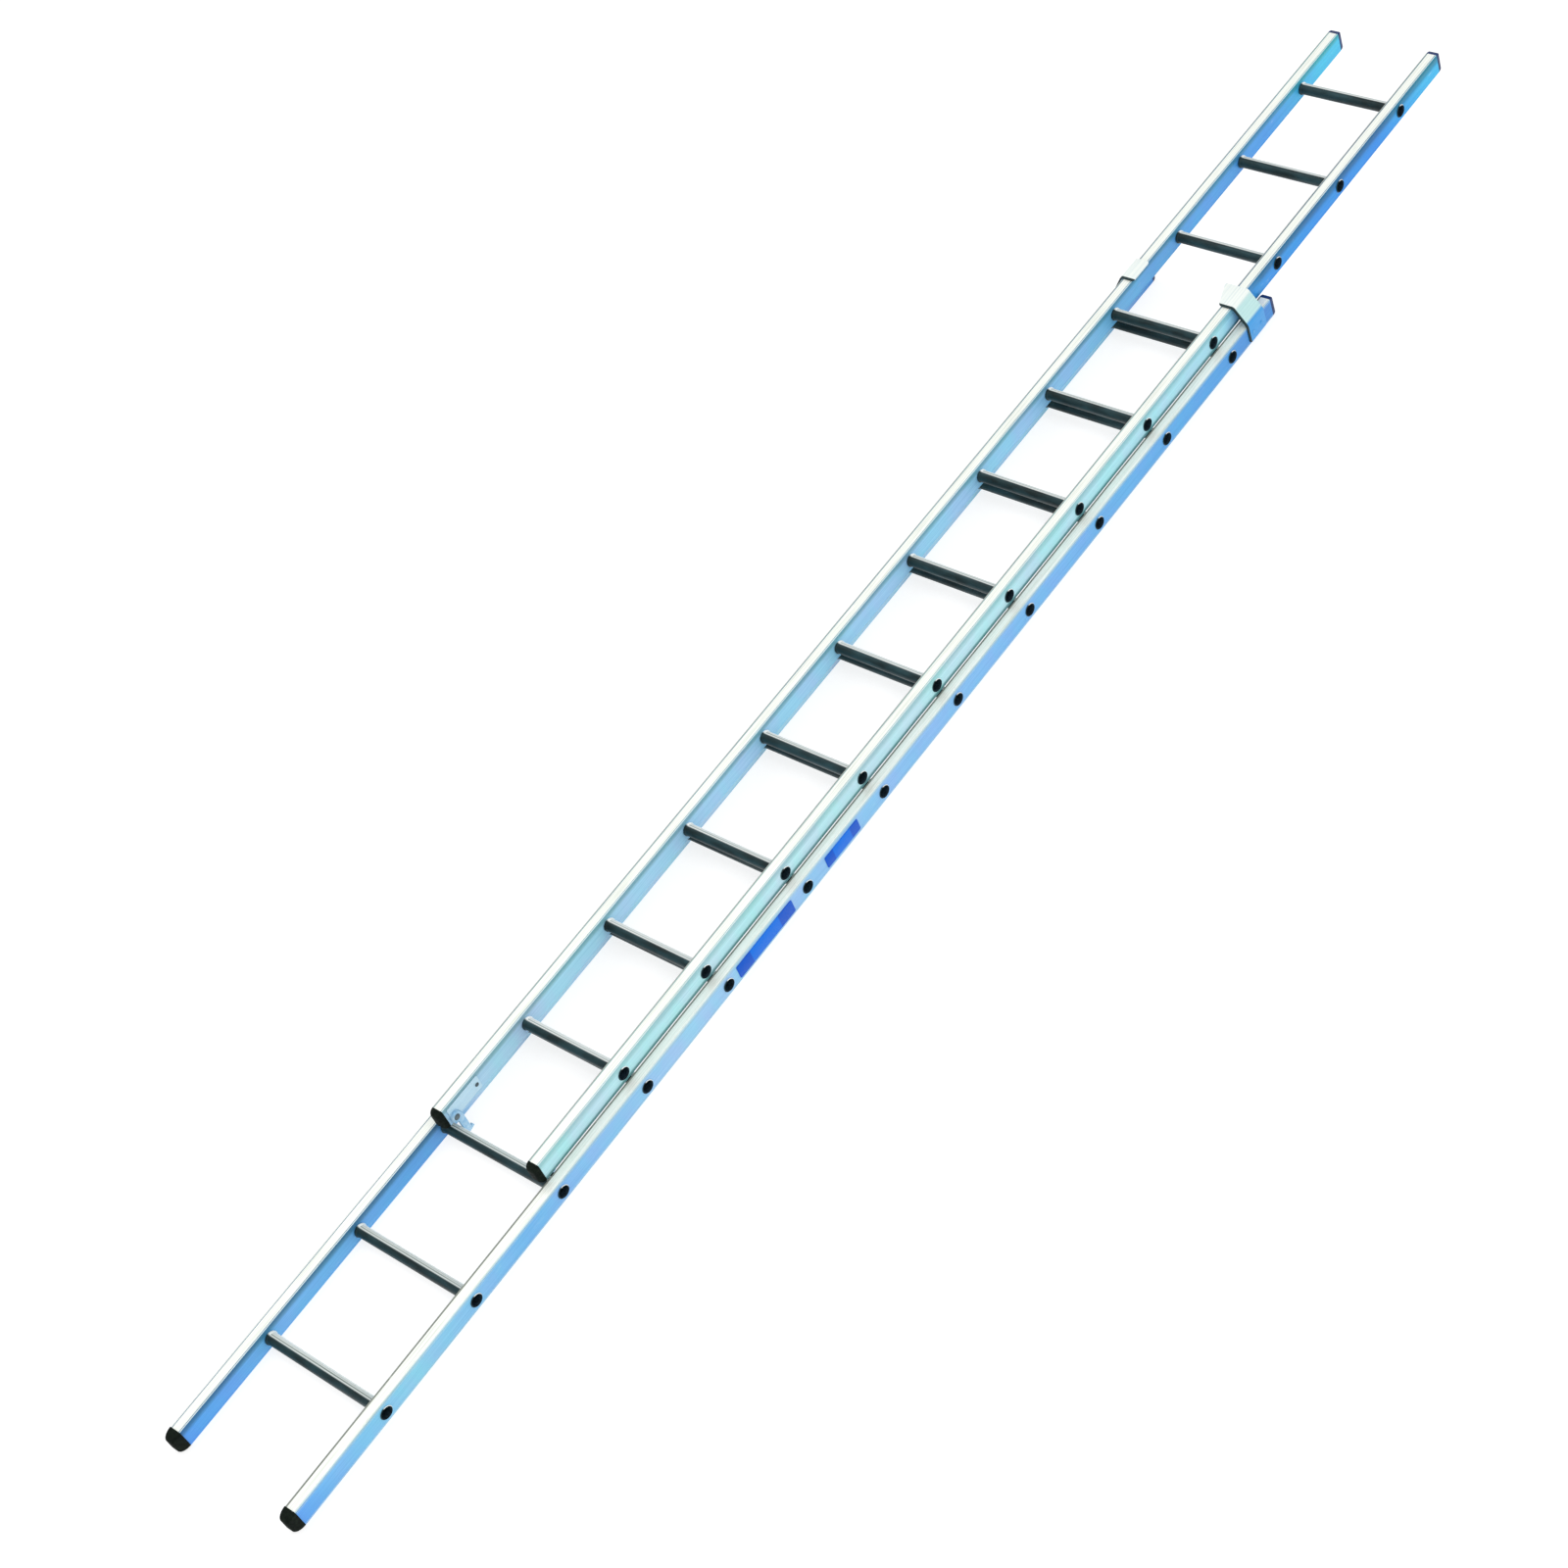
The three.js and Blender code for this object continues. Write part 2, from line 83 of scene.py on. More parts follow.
class Section(Enum):
    """The two sliding sections of the ladder."""

    BASE = "base"
    FLY = "fly"

    def stile(self, side: Side) -> str:
        """The node of one of its stiles."""
        return f"{self.value}_stile_{side.label}"

    def rung(self, number: int) -> str:
        """The node of one of its rungs, counted from 1."""
        return f"{self.value}_rung_{number:02d}"


class End(Enum):
    """The two ends of a stile, with the sign of the way each one faces along Y."""

    BOTTOM = -1
    TOP = 1


# ---- Modelling bench ---------------------------------------------------------------------------------


def deselect_all() -> None:
    """Leave nothing selected and nothing active."""
    for item in list(bpy.context.selected_objects):
        item.select_set(False)
    bpy.context.view_layer.objects.active = None


def pick(*pieces: Piece) -> None:
    """Make some pieces the only selected ones, and the first of them active.

    Args:
        pieces: The objects that the next operators act on.
    """
    deselect_all()
    for piece in pieces:
        piece.select_set(True)
    bpy.context.view_layer.objects.active = pieces[0]


@contextmanager
def editing(piece: Piece) -> Iterator[None]:
    """Stay in edit mode on a piece, starting with nothing selected.

    Args:
        piece: The mesh object to edit.
    """
    pick(piece)
    bpy.ops.object.mode_set(mode="EDIT")
    bpy.ops.mesh.select_mode(type="VERT")
    bpy.ops.mesh.select_all(action="DESELECT")
    yield
    bpy.ops.object.mode_set(mode="OBJECT")


def _edited() -> bmesh.types.BMesh:
    """The mesh that is being edited."""
    return bmesh.from_edit_mesh(bpy.context.edit_object.data)


def _select(mode: str, wanted: Callable[[Any], bool]) -> None:
    """Start a new selection of the edited mesh's vertices, edges or faces.

    Args:
        mode: VERT, EDGE or FACE. Vertices also select what they span.
        wanted: Says of each one whether it is selected.
    """
    bpy.ops.mesh.select_mode(type=mode)
    bpy.ops.mesh.select_all(action="DESELECT")
    shape = _edited()
    for item in {"VERT": shape.verts, "EDGE": shape.edges, "FACE": shape.faces}[mode]:
        item.select_set(wanted(item))
    if mode == "VERT":
        shape.select_flush(True)
    bmesh.update_edit_mesh(bpy.context.edit_object.data)


def select_vertices(wanted: Callable[[Vector], bool]) -> None:
    """Select the vertices, and what they span, whose place passes a test."""
    _select("VERT", lambda vertex: wanted(vertex.co))


def select_edges(wanted: Callable[[Vector, Vector], bool]) -> None:
    """Select the edges whose two ends pass a test together."""
    _select("EDGE", lambda edge: wanted(edge.verts[0].co, edge.verts[1].co))


def select_faces(wanted: Callable[[Vector, Vector], bool]) -> None:
    """Select the faces whose middle and normal pass a test together."""
    _select("FACE", lambda face: wanted(face.calc_center_median(), face.normal))


def slice_at(axis: int, *places: float) -> None:
    """Cut new edges into the mesh where it crosses planes square to an axis.

    Args:
        axis: 0, 1 or 2 for X, Y or Z.
        places: Where each plane crosses that axis.
    """
    normal = Vector((0.0, 0.0, 0.0))
    normal[axis] = 1.0
    for place in places:
        bpy.ops.mesh.select_all(action="SELECT")
        bpy.ops.mesh.bisect(plane_co=normal * place, plane_no=normal, threshold=TINY)


def shift(x: float = 0.0, y: float = 0.0, z: float = 0.0) -> None:
    """Move what is selected."""
    bpy.ops.transform.translate(value=(x, y, z))


def stretch(factors: Sequence[float], centre: Sequence[float]) -> None:
    """Scale what is selected along X, Y and Z about a point."""
    bpy.ops.transform.resize(value=tuple(factors), center_override=tuple(centre))


def face_outwards() -> None:
    """Turn all the edited mesh's faces outwards."""
    bpy.ops.mesh.select_all(action="SELECT")
    bpy.ops.mesh.normals_make_consistent(inside=False)


def settled(name: str) -> Piece:
    """Name the newly added object and move its place into its mesh.

    Args:
        name: The object's name.

    Returns:
        The object.
    """
    piece = bpy.context.active_object
    piece.name = name
    piece.data.name = name
    bpy.ops.object.transform_apply(location=True, rotation=True, scale=True)
    return piece


def block(name: str, low: Sequence[float], high: Sequence[float]) -> Piece:
    """A block between two corners.

    Args:
        name: The object's name.
        low: Its lowest corner.
        high: Its highest corner.

    Returns:
        The new object.
    """
    low, high = Vector(low), Vector(high)
    deselect_all()
    bpy.ops.mesh.primitive_cube_add(size=1.0, location=(low + high) / 2, scale=high - low)
    return settled(name)


def round_bar(name: str, radius: float, x_from: float, x_to: float, axis: Vector, sides: int,
              capped: bool = True) -> Piece:
    """A round bar along X, or only its skin.

    Args:
        name: The object's name.
        radius: The bar's radius.
        x_from: One end.
        x_to: The other end.
        axis: A point that has its axis's y and z.
        sides: How many flats stand for the round.
        capped: Whether its ends are closed.

    Returns:
        The new object.
    """
    deselect_all()
    bpy.ops.mesh.primitive_cylinder_add(
        vertices=sides, radius=radius, depth=abs(x_to - x_from), rotation=(0.0, math.pi / 2, 0.0),
        location=((x_from + x_to) / 2, axis.y, axis.z), end_fill_type="NGON" if capped else "NOTHING")
    return settled(name)


def rounded_plate(name: str, node: str, corner: float, edge: float) -> Piece:
    """A thin plate that fills a node's box, with rounded corners and softened edges.

    Args:
        name: The object's name.
        node: The node.
        corner: The radius of its four corners, seen along X.
        edge: The width of its softened edges.

    Returns:
        The new object.
    """
    plate = block(name, *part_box(node))
    with editing(plate):
        select_edges(lambda a, b: abs(a.x - b.x) > SURFACE)
        bpy.ops.mesh.bevel(offset=corner, segments=5, affect="EDGES")
    soften(plate, edge, degrees=50.0)
    return plate


def finish_with(piece: Piece, kind: str, **settings: object) -> None:
    """Add a modifier with its settings and apply it.

    Args:
        piece: The object to change.
        kind: The modifier's type, such as BEVEL.
        settings: Its properties.
    """
    pick(piece)
    modifier = piece.modifiers.new(kind.title(), kind)
    for key, value in settings.items():
        setattr(modifier, key, value)
    bpy.ops.object.modifier_apply(modifier=modifier.name)


def soften(piece: Piece, width: float, segments: int = 2, degrees: float = 30.0) -> None:
    """Bevel a piece's edges that are sharper than an angle."""
    finish_with(piece, "BEVEL", width=width, segments=segments, limit_method="ANGLE",
                angle_limit=math.radians(degrees))


def thicken(piece: Piece, thickness: float, offset: float = -1.0) -> None:
    """Give a skin a wall, to its inside or, with an offset of 0, to both sides."""
    finish_with(piece, "SOLIDIFY", thickness=thickness, offset=offset, use_even_offset=True)


def combine(piece: Piece, other: Piece, operation: str = "UNION") -> None:
    """Join another piece to a piece, or cut it out as a DIFFERENCE, and discard the other one."""
    finish_with(piece, "BOOLEAN", operation=operation, solver="EXACT", object=other)
    bpy.data.objects.remove(other)


def merge(parts: Sequence[Piece]) -> Piece:
    """Put several objects into the first one's mesh.

    Args:
        parts: The objects.

    Returns:
        The first object.
    """
    pick(*parts)
    bpy.ops.object.join()
    return parts[0]


def smooth(piece: Piece, degrees: float = 32.0) -> None:
    """Shade a piece smooth, apart from edges sharper than an angle."""
    pick(piece)
    bpy.ops.object.shade_smooth_by_angle(angle=math.radians(degrees))


def copy_of(master: Piece, name: str, offset: Sequence[float]) -> Piece:
    """A moved copy of a finished shape, with its own mesh.

    Args:
        master: The shape to copy.
        name: The copy's name.
        offset: How far the copy lies from it.

    Returns:
        The copy.
    """
    twin = master.copy()
    twin.data = master.data.copy()
    twin.name = name
    twin.data.name = name
    twin.data.transform(Matrix.Translation(Vector(offset)))
    bpy.context.scene.collection.objects.link(twin)
    return twin


def hand_over(piece: Piece, node: str, body: str) -> None:
    """Let a finished piece stand for its node and ride on its body.

    Args:
        piece: The finished object.
        node: The node it stands for.
        body: The body it moves with.
    """
    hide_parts(node)
    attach(piece, body)
    log.info("%s stands for %s on %s, %d faces", piece.name, node, body, len(piece.data.polygons))


def paint_and_hand_over(piece: Piece, finish: Material, node: str, body: str) -> None:
    """Paint a piece in one finish, smooth it and hand it over.

    Args:
        piece: The finished shape.
        finish: Its material.
        node: The node it stands for.
        body: The body it moves with.
    """
    piece.data.materials.append(finish)
    smooth(piece)
    hand_over(piece, node, body)


def middle(node: str) -> Vector:
    """The middle of a node's box."""
    low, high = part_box(node)
    return (low + high) / 2


# ---- Finishes ----------------------------------------------------------------------------------------


def linear(red: int, green: int, blue: int) -> Colour:
    """A colour as the shaders want it, from a colour chart.

    Args:
        red: 0 to 255.
        green: 0 to 255.
        blue: 0 to 255.

    Returns:
        The linear colour.
    """
    def straight(value: int) -> float:
        """One of the three, as the shaders want it."""
        share = value / 255
        return share / 12.92 if share <= 0.04045 else ((share + 0.055) / 1.055) ** 2.4
    return straight(red), straight(green), straight(blue)


WHITE: Colour = (1.0, 1.0, 1.0)
EVEN = (1.0, 1.0, 1.0)           # noise that isn't drawn out
DRAWN = (1.0, 0.012, 1.0)        # noise drawn out along the stiles, as an extrusion's die lines are
ACROSS = (0.02, 1.0, 1.0)        # noise drawn out along the rungs


class Paint:
    """A node material under construction, with a Principled shader at its end."""

    def __init__(self, name: str, metallic: float, gloss: float = 0.5, roughness: float = 0.4) -> None:
        """Start a material.

        Args:
            name: The material's name.
            metallic: How metallic it is all over.
            gloss: How much it reflects besides its own colour.
            roughness: Its roughness, where no grain changes it.
        """
        self.material = bpy.data.materials.new(name)
        self.material.use_nodes = True
        self.tree = self.material.node_tree
        self.shader = self.tree.nodes["Principled BSDF"]
        self.shader.inputs["Metallic"].default_value = metallic
        self.shader.inputs["Roughness"].default_value = roughness
        self.shader.inputs["Specular IOR Level"].default_value = gloss
        self.place = self.tree.nodes.new("ShaderNodeTexCoord").outputs["Object"]

    def feed(self, target: Socket, value: Shade | float) -> None:
        """Link a socket to another one, or set a number or a colour on it.

        Args:
            target: The socket that is fed.
            value: What it is fed with.
        """
        if isinstance(value, Socket):
            self.tree.links.new(value, target)
        else:
            target.default_value = (*value, 1.0) if isinstance(value, tuple) else value

    def colour(self, value: Shade) -> None:
        """Give the shader its colour."""
        self.feed(self.shader.inputs["Base Color"], value)

    def axis(self, name: str) -> Socket:
        """One coordinate of the place on the piece.

        Args:
            name: X, Y or Z.

        Returns:
            The coordinate.
        """
        split = self.tree.nodes.new("ShaderNodeSeparateXYZ")
        self.feed(split.inputs["Vector"], self.place)
        return split.outputs[name]

    def attribute(self, name: str) -> Socket:
        """A number that the piece's vertices carry.

        Args:
            name: The attribute's name.

        Returns:
            The number.
        """
        node = self.tree.nodes.new("ShaderNodeAttribute")
        node.attribute_name = name
        return node.outputs["Fac"]

    def away(self, value: Socket, place: float = 0.0) -> Socket:
        """How far a value is from a place, whichever way.

        Args:
            value: The value.
            place: The place.

        Returns:
            The distance.
        """
        offset, size = (self.tree.nodes.new("ShaderNodeMath") for _ in range(2))
        offset.operation, size.operation = "SUBTRACT", "ABSOLUTE"
        offset.inputs[1].default_value = place
        self.feed(offset.inputs[0], value)
        self.feed(size.inputs[0], offset.outputs[0])
        return size.outputs[0]

    def spread(self, value: Socket, low: float, high: float, to_low: float = 0.0,
               to_high: float = 1.0) -> Socket:
        """Turn a range of a value into another range, held at its ends.

        Args:
            value: The value.
            low: Where the range starts.
            high: Where it ends.
            to_low: What the start becomes.
            to_high: What the end becomes.

        Returns:
            The new value.
        """
        node = self.tree.nodes.new("ShaderNodeMapRange")
        for key, given in (("Value", value), ("From Min", low), ("From Max", high), ("To Min", to_low),
                           ("To Max", to_high)):
            self.feed(node.inputs[key], given)
        return node.outputs["Result"]

    def grain(self, scale: float, stretched: Sequence[float] = EVEN, detail: float = 3.0,
              roughness: float = 0.55) -> Socket:
        """Noise over the piece, stretched along its axes.

        Args:
            scale: How fine the noise is, in waves per metre.
            stretched: The scale along each axis on top of that, below 1 to draw it out.
            detail: How many finer layers it has.
            roughness: How strong those are.

        Returns:
            The noise, about 0.5.
        """
        mapping = self.tree.nodes.new("ShaderNodeMapping")
        mapping.inputs["Scale"].default_value = tuple(stretched)
        self.feed(mapping.inputs["Vector"], self.place)
        noise = self.tree.nodes.new("ShaderNodeTexNoise")
        for key, given in (("Scale", scale), ("Detail", detail), ("Roughness", roughness),
                           ("Vector", mapping.outputs["Vector"])):
            self.feed(noise.inputs[key], given)
        return noise.outputs["Fac"]

    def blend(self, amount: Socket | float, first: Shade, second: Shade, mode: str = "MIX") -> Socket:
        """Mix two colours.

        Args:
            amount: How much of the second.
            first: A colour, or a socket that gives one.
            second: A colour, or a socket that gives one.
            mode: How they mix, such as MULTIPLY.

        Returns:
            The mixed colour.
        """
        node = self.tree.nodes.new("ShaderNodeMix")
        node.data_type = "RGBA"
        node.blend_type = mode
        for index, given in ((0, amount), (6, first), (7, second)):
            self.feed(node.inputs[index], given)
        return node.outputs[2]

    def tinted(self, colour: Shade, tint: Shade) -> Socket:
        """A colour multiplied by a tint."""
        return self.blend(1.0, colour, tint, "MULTIPLY")

    def patched(self, under: Shade, over: Shade, scale: float, low: float, high: float, most: float = 1.0,
                stretched: Sequence[float] = EVEN, detail: float = 3.0, roughness: float = 0.55) -> Socket:
        """Lay a colour over another one where a grain is high.

        Args:
            under: The colour below.
            over: The colour of the patches.
            scale: The grain's scale.
            low: The grain at which the patches start.
            high: The grain at which they are full.
            most: How much of the patches' colour shows where they are full.
            stretched: How the grain is drawn out.
            detail: The grain's finer layers.
            roughness: How strong those are.

        Returns:
            The colour.
        """
        amount = self.spread(self.grain(scale, stretched, detail, roughness), low, high, 0.0, most)
        return self.blend(amount, under, over)

    def scuffed(self, under: Shade, over: Shade, scale: float, low: float, high: float, most: float,
                stretched: Sequence[float] = EVEN) -> Socket:
        """A colour with small ragged patches of another one; its arguments are those of patched."""
        return self.patched(under, over, scale, low, high, most, stretched, detail=7.0, roughness=0.7)

    def ramp(self, value: Socket, stops: Stops) -> Socket:
        """Colours laid out along a value from 0 to 1.

        Args:
            value: The value.
            stops: Each colour and where it stands.

        Returns:
            The colour at the value.
        """
        node = self.tree.nodes.new("ShaderNodeValToRGB")
        band = node.color_ramp
        band.elements.remove(band.elements[1])
        band.elements[0].position = stops[0][0]
        band.elements[0].color = (*stops[0][1], 1.0)
        for place, colour in stops[1:]:
            band.elements.new(place).color = (*colour, 1.0)
        self.feed(node.inputs["Fac"], value)
        return node.outputs["Color"]

    def skin(self, rough: Triple, relief: Triple, stretched: Sequence[float] = EVEN,
             relief_detail: float = 3.0) -> None:
        """Change the roughness over the piece and give it a fine relief.

        Args:
            rough: The roughness's grain scale, its lowest and its highest; one value stays plain.
            relief: The relief's grain scale, its strength, and what its full height measures.
            stretched: How both grains are drawn out.
            relief_detail: How many finer layers the relief has.
        """
        scale, low, high = rough
        if low < high:
            dullness = self.spread(self.grain(scale, stretched), 0.3, 0.7, low, high)
            self.feed(self.shader.inputs["Roughness"], dullness)
        scale, strength, height = relief
        bump = self.tree.nodes.new("ShaderNodeBump")
        for key, given in (("Strength", strength), ("Distance", height),
                           ("Height", self.grain(scale, stretched, relief_detail))):
            self.feed(bump.inputs[key], given)
        self.feed(self.shader.inputs["Normal"], bump.outputs["Normal"])


@dataclass(frozen=True)
class MottledFinish:
    """One substance with patches of a second shade, as cast metal, rubber and plastic are."""

    name: str
    main: Colour
    patch: Colour
    metallic: float = 0.35
    gloss: float = 0.5
    patch_scale: float = 80.0
    patch_detail: float = 5.0
    patch_from: float = 0.4
    patch_to: float = 0.7
    rough: Triple = (260.0, 0.36, 0.6)
    relief: Triple = (1000.0, 0.3, 0.0003)
    relief_detail: float = 3.0

    def build(self) -> Material:
        """Build the material.

        Returns:
            The material.
        """
        paint = Paint(self.name, self.metallic, self.gloss, roughness=self.rough[2])
        paint.colour(paint.patched(self.main, self.patch, self.patch_scale, self.patch_from, self.patch_to,
                                   detail=self.patch_detail))
        paint.skin(self.rough, self.relief, relief_detail=self.relief_detail)
        return paint.material


# Painted shade: the inside of the tubes is dark for the shade in them.
SHADED_BORE = MottledFinish("tube_inside_painted_shade", linear(4, 16, 24), linear(30, 54, 68), metallic=0.3, gloss=0.2,
                     patch_scale=260.0, patch_from=0.35, patch_to=0.75, rough=(1.0, 0.7, 0.7),
                     relief=(900.0, 0.3, 0.0003))
RUBBER = MottledFinish("black_rubber", linear(4, 14, 8), linear(22, 32, 22), metallic=0.0, gloss=0.12,
                       patch_scale=90.0, patch_detail=6.0, patch_from=0.45, patch_to=0.75,
                       rough=(240.0, 0.62, 0.85), relief=(1400.0, 0.35, 0.0003))
PLUG = MottledFinish("blue_plug_plastic", linear(8, 34, 84), linear(24, 62, 122), metallic=0.0, gloss=0.3,
                     patch_scale=60.0, patch_detail=4.0, patch_to=0.8, rough=(200.0, 0.32, 0.48),
                     relief=(1100.0, 0.2, 0.0002))
LATCH = MottledFinish("cast_latch", linear(150, 196, 228), linear(196, 224, 240), relief_detail=4.0)
RIVET = MottledFinish("rivet_metal", linear(70, 84, 90), linear(120, 136, 142), relief_detail=4.0)
PAINTED = MottledFinish("painted_rivet", linear(78, 158, 220), linear(130, 190, 226), relief_detail=4.0)


@dataclass(frozen=True)
class StileLook:
    """How the painted blue reflection and the painted edge shade of one stile differ from those of the
    others.

    The blues, painted reflection and shade along the webs, stand at shares of the stile's length from its
    bottom end. The painted shade lines stand at shares of its depth from its back flange, one set below the
    guide brackets and one beyond them.
    """

    blues: Stops
    edge_shades: Stops = ((0.0, WHITE), (1.0, WHITE))
    edge_shades_beyond: Stops = ((0.0, WHITE), (1.0, WHITE))
    line: float = 0.5                    # how strong the painted shade line along its lower-x edge is
    pale_corner: bool = False            # whether its front corner keeps the flange's colour


@dataclass(frozen=True)
class WebFinish:
    """Painted blue reflection on the webs of a stile, with painted shade along its length, die lines along it
    and painted shade lines across its depth.
    """

    name: str
    low: Vector
    high: Vector
    look: StileLook
    change_at: float                     # where along Y the painted shade lines change
    change_length: float = 0.06
    cyan: Colour = linear(222, 248, 245)
    violet: Colour = linear(238, 239, 246)
    die_line: Colour = linear(226, 236, 242)
    scuff: Colour = linear(214, 232, 242)
    metallic: float = 0.12

    def build(self) -> Material:
        """Build the material.

        Returns:
            The material.
        """
        paint = Paint(self.name, self.metallic, gloss=0.35)
        along = paint.axis("Y")
        # The blues along the web are painted reflection and painted shade.
        web_blue = paint.ramp(paint.spread(along, self.low.y, self.high.y), self.look.blues)
        depth = paint.spread(paint.axis("Z"), self.low.z, self.high.z)
        beyond = paint.spread(along, self.change_at, self.change_at + self.change_length)
        # painted shade lines near the web's edges: darker where the flange and the gap to the other section
        # shade it
        web_blue = paint.tinted(web_blue, paint.blend(beyond, paint.ramp(depth, self.look.edge_shades),
                                              paint.ramp(depth, self.look.edge_shades_beyond)))
        web_blue = paint.tinted(web_blue, paint.patched(self.cyan, self.violet, 13.0, 0.36, 0.64,
                                                stretched=(0.4, 1.0, 0.6), detail=2.0))
        web_blue = paint.tinted(web_blue, paint.patched(WHITE, self.die_line, 420.0, 0.35, 0.7, stretched=DRAWN))
        paint.colour(paint.scuffed(web_blue, self.scuff, 60.0, 0.64, 0.74, 0.35, (1.0, 0.2, 1.0)))
        paint.skin((300.0, 0.34, 0.52), (600.0, 0.12, 0.0003), DRAWN)
        return paint.material


@dataclass(frozen=True)
class FlangeFinish:
    """Bright mill-finish aluminium on the flanges of a stile, with a painted shade line along each edge."""

    name: str
    low: Vector
    high: Vector
    line: float                          # how strong the painted shade line along the lower-x edge is
    face: Colour = linear(248, 251, 245)
    left_edge: Colour = linear(96, 104, 92)
    right_edge: Colour = linear(178, 208, 218)
    scuff: Colour = linear(220, 225, 219)
    metallic: float = 0.1

    def build(self) -> Material:
        """Build the material.

        Returns:
            The material.
        """
        paint = Paint(self.name, self.metallic)
        across = paint.spread(paint.axis("X"), self.low.x, self.high.x)
        # painted shade lines along the flange's edges, where its corners turn away from the light
        edge = tuple(self.line * dull + (1.0 - self.line) * bright
                     for dull, bright in zip(self.left_edge, self.face))
        metal = paint.ramp(across, ((0.0, edge), (0.15, edge), (0.20, self.face), (0.84, self.face),
                                    (0.97, self.right_edge)))
        metal = paint.tinted(metal, paint.patched(WHITE, self.scuff, 500.0, 0.45, 0.72, stretched=DRAWN))
        paint.colour(paint.patched(metal, self.scuff, 70.0, 0.62, 0.72, 0.5, (1.0, 0.35, 1.0), 6.0, 0.7))
        paint.skin((350.0, 0.3, 0.48), (700.0, 0.1, 0.0003), DRAWN)
        return paint.material


@dataclass(frozen=True)
class RungFinish:
    """A rung's skin: bright on the tread side, with painted shade on its underside, the side that faces the
    feet.

    The rung's underside attribute says how far a place faces down and sets the painted underside shade, and
    its groove attribute how far it lies in painted shadow between the ribs and in the painted shade bands,
    both from 0 to 1.
    """

    name: str
    bright: Colour
    rib_shadow: Colour
    dark: Colour = linear(4, 28, 30)
    underside_shade_patch: Colour = linear(30, 62, 68)
    edge: float = 0.50                   # where on the underside's scale the bright tread ends and the painted underside shade starts
    edge_softness: float = 0.06

    def build(self) -> Material:
        """Build the material.

        Returns:
            The material.
        """
        paint = Paint(self.name, 0.12, gloss=0.25)
        shadow = paint.patched(self.rib_shadow, self.bright, 120.0, 0.35, 0.65, 0.4, ACROSS, 4.0)
        tread = paint.blend(paint.attribute("groove"), self.bright, shadow)
        # painted shade on the underside, the side that faces the feet
        under = paint.patched(self.dark, self.underside_shade_patch, 45.0, 0.35, 0.7, stretched=(0.3, 1.0, 1.0))
        turned = paint.spread(paint.attribute("underside"), self.edge - self.edge_softness,
                              self.edge + self.edge_softness)
        paint.colour(paint.blend(turned, tread, under))
        paint.skin((400.0, 0.32, 0.5), (800.0, 0.15, 0.0003), ACROSS)
        return paint.material


@dataclass(frozen=True)
class SheetFinish:
    """Pressed aluminium sheet, pale, with rolling lines and small scuffs."""

    name: str = "pressed_sheet"
    pale: Colour = linear(196, 226, 240)
    grey: Colour = linear(160, 204, 230)
    metallic: float = 0.3

    def build(self) -> Material:
        """Build the material.

        Returns:
            The material.
        """
        paint = Paint(self.name, self.metallic)
        rolled = paint.patched(self.pale, self.grey, 260.0, 0.35, 0.75, 0.55, DRAWN)
        paint.colour(paint.scuffed(rolled, self.grey, 110.0, 0.6, 0.72, 0.6))
        paint.skin((300.0, 0.3, 0.5), (900.0, 0.15, 0.0002))
        return paint.material


@dataclass(frozen=True)
class BracketFinish:
    """Pressed sheet with painted reflection by facing: white on the lip, pale on the slope, blue on the side,
    and a painted shadow along its lower edge.
    """

    lip_x: float                         # how far from the middle of the ladder the lip ends
    side_x: float                        # how far from the middle the side plate is
    edge_y: float                        # where the lower edge is
    name: str = "painted_bracket"
    lip: Colour = linear(246, 251, 246)
    slope: Colour = linear(196, 232, 230)
    side: Colour = linear(72, 160, 226)
    rim: Colour = linear(10, 42, 46)
    rolling_line: Colour = linear(228, 236, 240)
    rim_width: float = 0.0055
    rim_softness: float = 0.001

    def build(self) -> Material:
        """Build the material.

        Returns:
            The material.
        """
        paint = Paint(self.name, 0.15, gloss=0.35)
        outwards = paint.spread(paint.away(paint.axis("X")), self.lip_x, self.side_x)
        # painted reflection: each face takes the tone that the stile face beside it catches
        sheet = paint.ramp(outwards, ((0.0, self.lip), (0.08, self.lip), (0.25, self.slope),
                                      (0.86, self.slope), (0.97, self.side)))
        rolled = paint.patched(WHITE, self.rolling_line, 260.0, 0.35, 0.75, stretched=DRAWN)
        sheet = paint.tinted(sheet, rolled)
        sheet = paint.scuffed(sheet, self.slope, 110.0, 0.62, 0.74, 0.5)
        # painted shadow along the lower edge
        rim_end = self.edge_y + self.rim_width
        past_rim = paint.spread(paint.axis("Y"), rim_end, rim_end + self.rim_softness)
        paint.colour(paint.blend(past_rim, self.rim, sheet))
        paint.skin((300.0, 0.3, 0.5), (900.0, 0.15, 0.0002))
        return paint.material


@dataclass(frozen=True)
class LabelFinish:
    """A plain blue plate with a pale band along its middle and no lettering."""

    node: str
    blue: Colour = linear(0, 84, 196)
    band: Colour = linear(4, 110, 220)
    band_share: float = 0.5
    band_softness: float = 0.002

    def build(self) -> Material:
        """Build the material.

        Returns:
            The material.
        """
        low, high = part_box(self.node)
        paint = Paint(f"print_{self.node}", 0.0, gloss=0.15)
        half = (high.y - low.y) * self.band_share / 2
        from_middle = paint.away(paint.axis("Y"), (low.y + high.y) / 2)
        inside = paint.spread(from_middle, half, half + self.band_softness, 1.0, 0.0)
        printed = paint.blend(inside, self.blue, self.band)
        paint.colour(paint.patched(printed, self.band, 130.0, 0.6, 0.75, 0.4, detail=6.0, roughness=0.7))
        paint.skin((220.0, 0.28, 0.45), (500.0, 0.1, 0.0002))
        return paint.material
